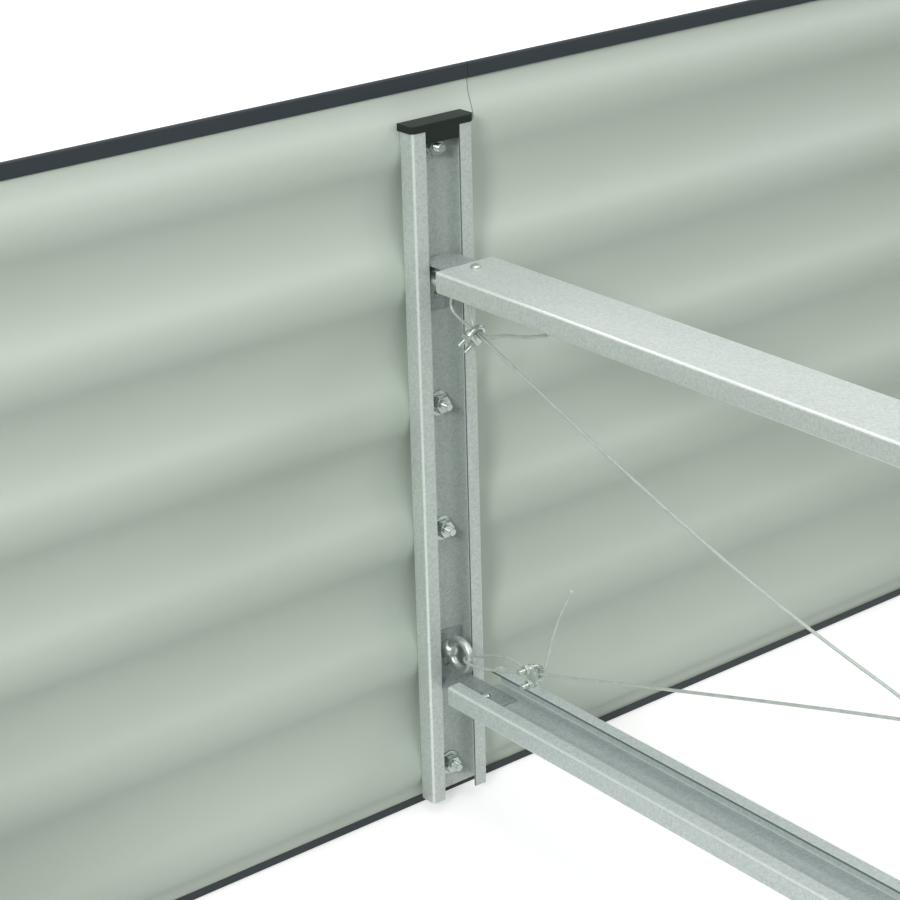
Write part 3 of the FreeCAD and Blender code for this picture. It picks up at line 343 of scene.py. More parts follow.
@dataclass(frozen=True)
class PowderCoat:
    """Dark powder coat or moulded plastic with a fine grain."""

    name: str
    colour: Colour
    worn: Colour
    roughness: float
    grain: float = 1400.0
    relief: float = 0.25
    gloss: float = 0.3
    cloud_scale: float = 24.0
    roughness_range: float = 0.14

    def build(self) -> Material:
        """Make the material.

        Returns:
            The material.
        """
        shader = Shader(self.name)
        cloud = shader.noise(self.cloud_scale, 4.0)
        grain = shader.noise(self.grain, 2.0, 0.6)
        return shader.close({
            "Base Color": shader.mixed(self.colour, self.worn, (cloud * 0.7 + grain * 0.3).clamped()),
            "Roughness": self.roughness + (grain - 0.5) * self.roughness_range,
            "Normal": shader.bumped(grain, self.relief),
            "Specular IOR Level": self.gloss,
        })


@dataclass(frozen=True)
class Galvanised:
    """Hot-dip zinc: crystals of different sheen, a fine speckle and faint streaks from rolling."""

    name: str
    bright: Colour = srgb(217, 225, 221)
    dull: Colour = srgb(182, 192, 187)
    crystals: float = 520.0
    stretch: Spot = (1.0, 1.0, 1.0)
    metal: float = 0.3
    roughness: float = 0.34
    speck_fineness: float = 2.3
    streak_scale: float = 9.0

    def build(self) -> Material:
        """Make the material.

        Returns:
            The material.
        """
        shader = Shader(self.name)
        crystal = shader.cells(self.crystals)
        speck = shader.cells(self.crystals * self.speck_fineness)
        streak = shader.noise(self.streak_scale, 4.0, 0.55, self.stretch)
        tone = (crystal * 0.42 + speck * 0.33 + streak * 0.45 - 0.1).clamped()
        return shader.close({
            "Base Color": shader.mixed(self.bright, self.dull, tone),
            "Metallic": self.metal,
            "Roughness": self.roughness + speck * 0.1 + crystal * 0.08 + streak * 0.06,
            "Normal": shader.bumped(crystal * 0.6 + speck * 0.4, 0.16),
        })


@dataclass(frozen=True)
class ZincPlate:
    """Bright zinc plate of nuts, bolts and clips, duller in the pits."""

    name: str
    bright: Colour = srgb(216, 225, 220)
    dull: Colour = srgb(146, 156, 151)
    roughness: float = 0.2
    metal: float = 0.8
    pit_scale: float = 700.0
    pit_depth: float = 0.0001
    stain_scale: float = 120.0

    def build(self) -> Material:
        """Make the material.

        Returns:
            The material.
        """
        shader = Shader(self.name)
        pits = shader.noise(self.pit_scale, 3.0, 0.6)
        stain = shader.noise(self.stain_scale, 3.0)
        return shader.close({
            "Base Color": shader.mixed(self.bright, self.dull, (pits * 0.5 + stain * 0.6 - 0.15).clamped()),
            "Metallic": self.metal,
            "Roughness": self.roughness + pits * 0.16,
            "Normal": shader.bumped(pits, 0.15, self.pit_depth),
        })


@dataclass(frozen=True)
class StudioFloor:
    """Pale floor that the camera sees as near white, whiter far away, with the bed's shadow kept."""

    name: str = "pale_floor"
    colour: float = 0.7
    lift: float = 0.52
    far_lift: float = 0.9
    near: float = 1.3
    far: float = 4.0

    def build(self) -> Material:
        """Make the material.

        Returns:
            The material.
        """
        shader = Shader(self.name)
        path = shader.node("ShaderNodeLightPath").outputs
        seen = (Field(shader, path["Is Camera Ray"]) + Field(shader, path["Is Glossy Ray"])).clamped()
        along, across, _ = shader.axes(shader.coordinates)
        distance = (along * along + across * across) ** 0.5
        away = ((distance - self.near) / (self.far - self.near)).clamped()
        white = shader.mixed((self.lift,) * 3, (self.far_lift,) * 3, away)
        return shader.close({
            "Base Color": (self.colour, self.colour, self.colour, 1.0),
            "Roughness": 0.9,
            "Specular IOR Level": 0.1,
            "Emission Color": shader.socket("ShaderNodeVectorMath", {0: white, 3: seen}, operation="SCALE"),
            "Emission Strength": 1.0,
        })


def made(finish: SatinPaint | PowderCoat | Galvanised | ZincPlate) -> Any:
    """A field that holds a finish's material, which is built with the palette."""
    return field(default_factory=finish.build)


@dataclass
class Palette:
    """The finishes of the bed, made once and shared by its pieces."""

    paint: Material = made(SatinPaint())
    trim: Material = made(PowderCoat("slate_trim", srgb(48, 55, 60), srgb(58, 65, 70), 0.42))
    corner: Material = made(PowderCoat("slate_powder_coat", srgb(60, 66, 72), srgb(68, 74, 80), 0.5, 900.0))
    cap: Material = made(PowderCoat(
        "black_moulded_cap", srgb(20, 30, 26), srgb(30, 40, 35), 0.5, 1800.0, 0.35))
    post: Material = made(Galvanised("galvanised_post", stretch=(3.0, 3.0, 0.25)))
    brace: Material = made(Galvanised(
        "galvanised_brace", srgb(223, 230, 226), srgb(184, 194, 189), stretch=(3.0, 0.25, 3.0)))
    bracket: Material = made(Galvanised(
        "galvanised_bracket", srgb(190, 199, 198), srgb(138, 148, 147), 640.0))
    # Painted highlight: a paler, smoother zinc on the outer faces of the bends, for the bright lines of light
    # along them.
    bend_highlight: Material = made(Galvanised(
        "painted_bend_highlight", srgb(240, 245, 243), srgb(220, 227, 224), metal=0.3, roughness=0.26))
    tray: Material = made(Galvanised(
        "galvanised_tray", srgb(222, 230, 229), srgb(186, 196, 195), 460.0, (3.0, 0.25, 3.0)))
    cut_edge: Material = made(Galvanised("cut_edge", srgb(146, 154, 150), srgb(108, 116, 113), 900.0))
    zinc: Material = made(ZincPlate("zinc_plate"))
    cast: Material = made(ZincPlate("zinc_cast", srgb(218, 226, 221), srgb(156, 165, 160), 0.26, 0.7))
    wire: Material = made(ZincPlate("steel_wire", srgb(226, 234, 228), srgb(164, 172, 167), 0.3, 0.45))


# ------------------------------------------------------------
# mesh tools


def keep(piece: Piece, material: Material, slot: str, *nodes: str, edge: Material | None = None,
         bend: Material | None = None) -> None:
    """Give a piece its material and its body, and hide the CAD nodes that it stands for.

    Args:
        piece: the finished piece, in place.
        material: its finish.
        slot: the record's material slot; not used.
        nodes: the CAD nodes that it replaces.
        edge: finish of its cut edges, where they show.
        bend: finish along its sharp bends, a paler copy that paints the highlight along them.
    """
    if not edge:
        piece.data.materials.clear()
    for finish in (material, edge, bend):
        if finish:
            piece.data.materials.append(finish)
    if nodes:
        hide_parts(*nodes)
    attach(piece, BODY)
    log.info("%s: %d faces", piece.name, len(piece.data.polygons))


def mesh_object(name: str, shape: Shape, smooth: float = 35.0) -> Piece:
    """An object from a bmesh.

    Args:
        name: the piece's name.
        shape: the bmesh, which is used up.
        smooth: angle in degrees past which an edge is sharp.

    Returns:
        The piece.
    """
    bmesh.ops.remove_doubles(shape, verts=shape.verts, dist=1e-7)
    bmesh.ops.recalc_face_normals(shape, faces=shape.faces)
    data = bpy.data.meshes.new(name)
    shape.to_mesh(data)
    shape.free()
    data.shade_smooth()
    data.set_sharp_from_angle(angle=math.radians(smooth))
    return placed(name, data)


def plain(piece: Piece) -> Piece:
    """Turn a piece's modifiers, or its curve, into plain mesh.

    Args:
        piece: the piece, which is replaced.

    Returns:
        The plain piece of the same name.
    """
    graph = bpy.context.evaluated_depsgraph_get()
    graph.update()
    data = bpy.data.meshes.new_from_object(piece.evaluated_get(graph), depsgraph=graph)
    data.name = name = piece.name
    bpy.data.objects.remove(piece)
    return placed(name, data)


def dressed_copy(name: str, node: str, width: float, segments: int = 3,
                 move: Callable[[Vector], Vector] = Vector) -> Piece:
    """A CAD node's shape with rounded edges.

    Args:
        name: the piece's name.
        node: the CAD node.
        width: width of the rounding, in mm.
        segments: steps of the rounding.
        move: moves its points first.

    Returns:
        The piece.
    """
    shape = bmesh.new()
    shape.from_mesh(bpy.data.objects[node].data)
    bmesh.ops.remove_doubles(shape, verts=shape.verts, dist=1e-6)
    bmesh.ops.dissolve_limit(shape, angle_limit=math.radians(1.0), verts=shape.verts, edges=shape.edges)
    for vertex in shape.verts:
        vertex.co = move(vertex.co)
    sharp = 30.0
    piece = mesh_object(name, shape, sharp)
    bevel = piece.modifiers.new("rounding", "BEVEL")
    bevel.width = width * MM
    bevel.segments = segments
    bevel.limit_method = "ANGLE"
    bevel.angle_limit = math.radians(sharp)
    bevel.harden_normals = True
    return plain(piece)


def skin(shape: Shape, rings: Sequence[Sequence[bmesh.types.BMVert]], closed: bool = False) -> None:
    """Add the faces between rings of points, and at both ends.

    Args:
        shape: the mesh that they are added to.
        rings: the rings, of one count.
        closed: join the last ring to the first instead of closing the ends.
    """
    pairs = list(zip(rings, rings[1:]))
    if closed:
        pairs.append((rings[-1], rings[0]))
    for low, high in pairs:
        for index, vertex in enumerate(low):
            other = (index + 1) % len(low)
            shape.faces.new((vertex, low[other], high[other], high[index]))
    if not closed:
        shape.faces.new(rings[0])
        shape.faces.new(rings[-1])


def tube(shape: Shape, path: Sequence[Vector], radius: float, sides: int, closed: bool = False) -> None:
    """Add a round bar along a run of points.

    Args:
        shape: the mesh that it is added to.
        path: points in metres.
        radius: the bar's radius in metres.
        sides: facets round it.
        closed: join the last point to the first.
    """
    rings = []
    side = Vector()
    for index, spot in enumerate(path):
        before = path[index - 1] if index or closed else spot
        after = path[(index + 1) % len(path)] if index < len(path) - 1 or closed else spot
        way = (after - before).normalized()
        if not index:
            side = way.orthogonal().normalized()
        side = (side - way * side.dot(way)).normalized()
        rise = way.cross(side)
        rings.append([shape.verts.new(spot + (side * x + rise * y) * radius) for x, y in circle(sides)])
    skin(shape, rings, closed)


def turned(shape: Shape, profile: Sequence[tuple[float, float]], frame: Matrix, sides: int) -> None:
    """Add a solid turned about a frame's Z from (radius, height) pairs in mm, with closed ends."""
    skin(shape, [[shape.verts.new(frame @ (Vector((radius * x, radius * y, height)) * MM))
                  for x, y in circle(sides)] for radius, height in profile])


@dataclass
class Strip:
    """Sheet metal folded in a plane, drawn piece by piece along its middle line."""

    across: float
    height: float
    thickness: float
    heading: float = 0.0
    paint_highlight: bool = False
    left: list[tuple[float, float]] = field(default_factory=list)
    right: list[tuple[float, float]] = field(default_factory=list)
    bends: set[int] = field(default_factory=set)

    def _mark(self, heading: float) -> None:
        """Note the two faces of the sheet beside the middle line's end.

        Args:
            heading: direction of the middle line there.
        """
        step = (math.cos(heading) * self.thickness / 2, -math.sin(heading) * self.thickness / 2)
        self.left.append((self.across - step[0], self.height - step[1]))
        self.right.append((self.across + step[0], self.height + step[1]))

    def straight(self, length: float) -> "Strip":
        """Go straight on for a length.

        Args:
            length: the length in mm.

        Returns:
            The strip itself.
        """
        if not self.left:
            self._mark(self.heading)
        self.across += length * math.sin(self.heading)
        self.height += length * math.cos(self.heading)
        self._mark(self.heading)
        return self

    def bend(self, radius: float, angle: float, step: float = 0.06) -> "Strip":
        """Turn along an arc.

        Args:
            radius: radius of the middle line in mm.
            angle: the turn in radians, to the right when it is positive.
            step: about the turn between two facets, in radians.

        Returns:
            The strip itself.
        """
        bent = math.copysign(radius, angle)
        centre = (self.across + bent * math.cos(self.heading), self.height - bent * math.sin(self.heading))
        count = max(2, math.ceil(abs(angle) / step))
        start = self.heading
        for number in range(1, count + 1):
            self.heading = start + angle * number / count
            # Painted highlight: the middle of each bend's arc gets the paler bend finish.
            if self.paint_highlight and HIGHLIGHT_SPAN[0] < (number - 0.5) / count < HIGHLIGHT_SPAN[1]:
                self.bends.add(len(self.left) - 1)
            self.across = centre[0] - bent * math.cos(self.heading)
            self.height = centre[1] + bent * math.sin(self.heading)
            self._mark(self.heading)
        return self

    def drawn_out(self, name: str, stations: Sequence[float],
                  place: Callable[[float, float, float], Vector]) -> Piece:
        """The strip drawn out along a third axis.

        Args:
            name: the piece's name.
            stations: places along the third axis.
            place: point of the bed for (across, height, station).

        Returns:
            The piece.
        """
        shape = bmesh.new()
        loop = self.left + self.right[::-1]
        count, last = len(loop), len(self.left) - 1
        rings = [[shape.verts.new(place(a, b, station)) for a, b in loop] for station in stations]
        for low, high in zip(rings, rings[1:]):
            for index in range(count):
                other = (index + 1) % count
                face = shape.faces.new((low[index], low[other], high[other], high[index]))
                if index in (last, count - 1):
                    face.material_index = CUT
                elif min(index, count - 2 - index) in self.bends:
                    face.material_index = BENT
        for ring in (rings[0], rings[-1]):
            for index in range(last):
                corners = (index, index + 1, count - 2 - index, count - 1 - index)
                shape.faces.new([ring[corner] for corner in corners]).material_index = CUT
        return mesh_object(name, shape)


@dataclass(frozen=True)
class Channel:
    """A lipped channel, folded from sheet. The bend is the radius of its middle line."""

    depth: float
    width: float = 63.0
    lip: float = 13.5
    gauge: float = 2.0
    bend: float = 1.8
    bend_step: float = 0.2

    def folded(self) -> Strip:
        """Fold the channel with its web's back at height 0 and open downwards.

        Returns:
            The section.
        """
        run = self.gauge / 2 + self.bend
        strip = Strip(self.width / 2 - self.lip, self.gauge / 2 - self.depth, self.gauge, QUARTER, True)
        strip.straight(self.lip - run)
        for length in (self.depth - 2 * run, self.width - 2 * run, self.depth - 2 * run, self.lip - run):
            strip.bend(self.bend, -QUARTER, self.bend_step).straight(length)
        return strip


# ------------------------------------------------------------
# geometry nodes


class PartTree(NodeTree):
    """A Geometry Nodes tree whose named inputs are the sizes of a part."""

    def __init__(self, name: str, sizes: dict[str, float]) -> None:
        """Start the tree.

        Args:
            name: the tree's name.
            sizes: the inputs, such as head_width, and their values in mm.
        """
        super().__init__(bpy.data.node_groups.new(name, "GeometryNodeTree"))
        face = self.tree.interface
        for way in ("INPUT", "OUTPUT"):
            face.new_socket("Geometry", in_out=way, socket_type="NodeSocketGeometry")
        self.values: dict[str, float] = {}
        for label, size in sizes.items():
            entry = face.new_socket(label, in_out="INPUT", socket_type="NodeSocketFloat")
            self.values[entry.identifier] = size * MM
        self.entry = self.node("NodeGroupInput")
        self.exit = self.node("NodeGroupOutput")

    def __getitem__(self, label: str) -> Field:
        """The named input."""
        return Field(self, self.entry.outputs[label])

    def lifted(self, geometry: Socket, height: Any) -> Socket:
        """Geometry moved up by a height."""
        return self.socket("GeometryNodeTransform", {
            "Geometry": geometry, "Translation": self.vector(z=height)})

    def joined(self, *parts: Socket) -> Socket:
        """Join geometries.

        Args:
            parts: the geometries.

        Returns:
            All of them as one.
        """
        node = self.node("GeometryNodeJoinGeometry")
        for part in parts:
            self.tree.links.new(part, node.inputs[0])
        return node.outputs[0]

    def bar(self, width: Field, height: Any, foot: Any, sides: int, top_share: float = 1.0) -> Socket:
        """A bar with its foot at a height, which may taper.

        Args:
            width: width across its corners.
            height: its height.
            foot: height of its foot.
            sides: facets.
            top_share: share of the width that is left at the top.

        Returns:
            The geometry.
        """
        radius = width * 0.5
        cone = self.socket("GeometryNodeMeshCone", {
            "Vertices": sides, "Radius Bottom": radius, "Radius Top": radius * top_share, "Depth": height})
        return self.lifted(cone, foot)

    def nut(self, foot: Any = 0.0, chamfer: float = 0.12, face_share: float = 0.93) -> Socket:
        """A hexagon nut with both faces chamfered, from the inputs nut_flats and nut_height.

        Args:
            foot: height of its lower face.
            chamfer: share of the height that a chamfer takes.
            face_share: share of the width that is left at a face.

        Returns:
            The geometry.
        """
        corners = self["nut_flats"] / math.cos(math.pi / HEXAGON)
        height = self["nut_height"]
        rim = height * chamfer
        return self.joined(
            self.bar(corners * face_share, rim, foot, HEXAGON, 1 / face_share),
            self.bar(corners, height * (1 - 2 * chamfer), rim + foot, HEXAGON),
            self.bar(corners, rim, height * (1 - chamfer) + foot, HEXAGON, face_share))

    def thread(self, foot: Any, sides: int = 14, core_share: float = 0.86,
               ridge_share: float = 0.84) -> Socket:
        """A threaded end, from the inputs shank_width, shank_reach and thread_pitch.

        Args:
            foot: height of its lower end.
            sides: facets.
            core_share: share of the width that the core has.
            ridge_share: share of the width between two ridges.

        Returns:
            The geometry: a core with one ridge for each pitch.
        """
        width, length, pitch = self["shank_width"], self["shank_reach"], self["thread_pitch"]
        half = pitch * 0.5
        upper = self.bar(width, half, half, sides, ridge_share)
        lower = self.socket("GeometryNodeTransform", {"Geometry": upper, "Rotation": (math.pi, 0.0, 0.0)})
        line = self.socket("GeometryNodeMeshLine", {
            "Count": (length / pitch).math("FLOOR"), "Start Location": self.vector(z=foot),
            "Offset": self.vector(z=pitch)}, mode="OFFSET")
        ridge = self.joined(upper, self.lifted(lower, pitch))
        return self.joined(self.bar(width * core_share, length, foot, sides),
                           self.socket("GeometryNodeInstanceOnPoints", {"Points": line, "Instance": ridge}))

    def close(self, geometry: Socket, material: Material) -> None:
        """End the tree in real geometry with a material.

        Args:
            geometry: what the tree has made.
            material: its finish.
        """
        real = self.socket("GeometryNodeRealizeInstances", {0: geometry})
        done = self.socket("GeometryNodeSetMaterial", {"Geometry": real, "Material": material})
        self.tree.links.new(done, self.exit.inputs[0])

    def applied(self, piece: Piece, smooth: float = 38.0) -> Piece:
        """Run the tree on an object.

        Args:
            piece: the object that it starts from, which is replaced.
            smooth: angle in degrees past which an edge is sharp.

        Returns:
            The plain mesh object.
        """
        modifier = piece.modifiers.new(self.tree.name, "NODES")
        modifier.node_group = self.tree
        for identifier, value in self.values.items():
            modifier[identifier] = value
        piece = plain(piece)
        piece.data.shade_smooth()
        piece.data.set_sharp_from_angle(angle=math.radians(smooth))
        return piece

    def on_seats(self, one: Socket, material: Material, name: str, seats: Sequence[Seat]) -> Piece:
        """Close the tree with a fastener on every seat, along the seat's facing, and run it.

        Args:
            one: the fastener, standing on the origin.
            material: its finish.
            name: the piece's name.
            seats: place and facing of each.

        Returns:
            The piece.
        """
        facing = self.socket("GeometryNodeInputNamedAttribute", {"Name": "facing"}, data_type="FLOAT_VECTOR")
        turn = self.socket("FunctionNodeAlignRotationToVector", {"Vector": facing}, axis="Z")
        self.close(self.socket("GeometryNodeInstanceOnPoints", {
            "Points": self.entry.outputs[0], "Instance": one, "Rotation": turn}), material)
        data = bpy.data.meshes.new(name)
        data.from_pydata([tuple(spot) for spot, _ in seats], [], [])
        attribute = data.attributes.new("facing", "FLOAT_VECTOR", "POINT")
        for entry, (_, way) in zip(attribute.data, seats):
            entry.vector = way
        return self.applied(placed(name, data))


# ------------------------------------------------------------
# sub-assemblies


def sizes(**values: float) -> Any:
    """A field of named sizes in mm."""
    return field(default_factory=lambda: values)


@dataclass
class Layout:
    """Levels and reaches that the sub-assemblies share, in mm."""

    ribs: tuple[float, ...] = (36.7, 154.7, 272.7, 390.7, 508.7, 626.7)
    bolts: tuple[float, ...] = (36.7, 154.7, 272.7, 390.7, 508.7, 619.9)
    low_eye: float = 154.7
    high_eye: float = 508.7
    bed_height: float = 680.0
    long_reach: float = 1066.0
    end_reach: float = 546.0
    lap_reach: float = 48.0
    post_face: float = -11.1
    bracket_face: float = -13.6

    def runs(self, second: float) -> list[tuple[str, Wall, float, float, int]]:
        """Every length of wall that one panel or one trim takes.

        Args:
            second: start of the second length of a long wall.

        Returns:
            Place, wall, start, end, and layer: -1 inside the lap, 1 outside it and 0 alone.
        """
        runs = []
        for wall, inner, outer in ((Wall.REAR, "rear_left", "rear_right"),
                                   (Wall.FRONT, "front_right", "front_left")):
            runs.append((inner, wall, -self.long_reach, self.lap_reach, -1))
            runs.append((outer, wall, second, self.long_reach, 1))
        for wall, place in ((Wall.LEFT, "end_left"), (Wall.RIGHT, "end_right")):
            runs.append((place, wall, -self.end_reach, self.end_reach, 0))
        return runs


@dataclass
class Assembly:
    """What every sub-assembly has: the bed's layout, its finishes and a way to seat fasteners."""

    layout: Layout
    palette: Palette

    def seat(self, tree: PartTree, one: Socket, name: str, seats: Sequence[Seat], *nodes: str,
             slot: str = "fastener") -> None:
        """Make and keep one zinc-plated piece with a fastener, made by a tree, on every seat."""
        keep(tree.on_seats(one, self.palette.zinc, name, seats), self.palette.zinc, slot, *nodes)


@dataclass
class CorrugatedWalls(Assembly):
    """The six corrugated panels; two lap behind each wall post."""

    gauge: float = 0.8
    shift: float = 0.5
    foot: float = 1.3
    foot_hem: float = 8.6
    top_hem: float = 14.0
    pitch: float = 118.0
    depth: float = 14.0
    rise: float = 8.1
    rib_radius: float = 51.0
    steps: int = 12

    def section(self, shift: float) -> Strip:
        """The ribs and valleys of tangent arcs between two flat hems.

        Args:
            shift: distance outwards from the middle of the wall.

        Returns:
            The section.
        """
        half = self.pitch / 2
        flank = 2 * math.atan(self.depth / half)
        valley = half / math.sin(flank) - self.rib_radius
        foot_run = self.layout.ribs[0] - self.foot_hem
        top_run = self.layout.bed_height - self.layout.ribs[-1] - self.top_hem
        foot_turn = 2 * math.atan(self.rise / foot_run)
        top_turn = 2 * math.atan(self.rise / top_run)
        foot_radius = foot_run / (2 * math.sin(foot_turn))
        top_radius = top_run / (2 * math.sin(top_turn))
        strip = Strip(shift, self.foot, self.gauge)
        strip.straight(self.foot_hem - self.foot).bend(foot_radius, -foot_turn).bend(foot_radius, foot_turn)
        for _ in self.layout.ribs[1:]:
            strip.bend(self.rib_radius, flank).bend(valley, -2 * flank).bend(self.rib_radius, flank)
        strip.bend(top_radius, top_turn).bend(top_radius, -top_turn)
        return strip.straight(self.top_hem - self.foot)

    def build(self) -> None:
        """Make all six panels."""
        for place, wall, start, end, layer in self.layout.runs(-self.layout.lap_reach):
            piece = self.section(layer * self.shift).drawn_out(
                f"sheet_{place}", spaced(start, end, self.steps),
                lambda out, up, along: wall.spot(along, out, up))
            keep(piece, self.palette.paint, "sheet", f"panel_{place}", edge=self.palette.cut_edge)


@dataclass
class EdgeTrims(Assembly):
    """U-shaped trims that grip the top and bottom edges of the panels."""

    wall: float = 1.2
    slot: float = 2.0
    top_leg: float = 13.4
    foot_leg: float = 8.0
    bend: float = 1.2
    bend_step: float = 0.25
    joint: float = 0.5

    def section(self, top: bool) -> Strip:
        """The U, open downwards on the top edge and upwards on the bottom edge.

        Args:
            top: for the top edge.

        Returns:
            The section.
        """
        side = self.slot / 2 + self.wall / 2
        leg = self.top_leg if top else self.foot_leg
        run = leg - self.wall / 2 - self.bend
        if top:
            strip = Strip(-side, self.layout.bed_height - leg, self.wall)
        else:
            strip = Strip(-side, leg, self.wall, math.pi)
        for length in (run, 2 * (side - self.bend)):
            strip.straight(length).bend(self.bend, QUARTER if top else -QUARTER, self.bend_step)
        return strip.straight(run)

    def build(self) -> None:
        """Make all twelve trims."""
        for edge in ("top", "bottom"):
            for place, wall, start, end, _ in self.layout.runs(self.layout.lap_reach + self.joint):
                piece = self.section(edge == "top").drawn_out(
                    f"edge_{edge}_{place}", (start, end), lambda out, up, along: wall.spot(along, out, up))
                keep(piece, self.palette.trim, "trim", f"trim_{edge}_{place}", edge=self.palette.trim)


@dataclass
class WallPosts(Assembly):
    """The two lipped channel posts with their caps."""

    channel: Channel = Channel(18.5)
    back: float = -9.1
    foot: float = 11.2
    top: float = 640.0
    cap_rounding: float = 1.5
    cap_skirt: float = 2.4
    cap_widening: float = 1.025

    def skirted(self, spot: Vector) -> Vector:
        """Move a cap's point so that the plate laps further and its rim reaches down round the post.

        Args:
            spot: the point, in metres.

        Returns:
            The moved point.
        """
        rim = abs(spot.z - self.top * MM) < MM / 2
        outside = abs(spot.x) > self.channel.width / 2 * MM
        return Vector((spot.x * (self.cap_widening if outside else 1.0), spot.y,
                       spot.z - (self.cap_skirt * MM if rim else 0.0)))

    def build(self) -> None:
        """Make both posts and caps."""
        strip = self.channel.folded()
        for wall, name in LONG_WALLS:
            piece = strip.drawn_out(f"channel_{name}", spaced(self.foot, self.top, 2),
                                    lambda along, out, up: wall.spot(along, out + self.back, up))
            keep(piece, self.palette.post, "post", f"post_{name}", edge=self.palette.cut_edge,
                 bend=self.palette.bend_highlight)
            cap = dressed_copy(f"cap_{name}", f"post_cap_{name}", self.cap_rounding, move=self.skirted)
            keep(cap, self.palette.cap, "cap", f"post_cap_{name}")


@dataclass
class CornerPosts(Assembly):
    """The four extruded corner posts with their caps."""

    rounding: float = 0.5
    cap_rounding: float = 1.4

    def build(self) -> None:
        """Make all four."""
        for corner in ("rear_right", "rear_left", "front_left", "front_right"):
            post = dressed_copy(f"corner_{corner}", f"corner_post_{corner}", self.rounding, 2)
            keep(post, self.palette.corner, "corner", f"corner_post_{corner}")
            cap = dressed_copy(f"corner_top_{corner}", f"corner_cap_{corner}", self.cap_rounding)
            keep(cap, self.palette.cap, "cap", f"corner_cap_{corner}")


@dataclass
class Braces(Assembly):
    """The two channel braces across the bed and the brackets that hold them."""

    channel: Channel = Channel(19.0)
    half_length: float = 517.0
    top_face: float = 526.5
    low_face: float = 122.4
    bracket_rounding: float = 0.5
    steps: int = 8

    def build(self) -> None:
        """Make both braces and the four brackets; the top brace opens down, the bottom one up."""
        strip = self.channel.folded()
        stations = spaced(-self.half_length, self.half_length, self.steps)
        for level, face, side, finish in (("top", self.top_face, 1, self.palette.brace),
                                          ("bottom", self.low_face, -1, self.palette.tray)):
            brace = strip.drawn_out(f"cross_brace_{level}", stations,
                                    lambda x, up, y: Vector((x, y, face + side * up)) * MM)
            keep(brace, finish, "brace", f"brace_{level}", edge=self.palette.cut_edge,
                 bend=self.palette.bend_highlight)
        for level in ("top", "bottom"):
            for _, wall in LONG_WALLS:
                node = f"bracket_{level}_{wall}"
                angle = dressed_copy(f"angle_{level}_{wall}", node, self.bracket_rounding, 2)
                keep(angle, self.palette.bracket, "bracket", node)


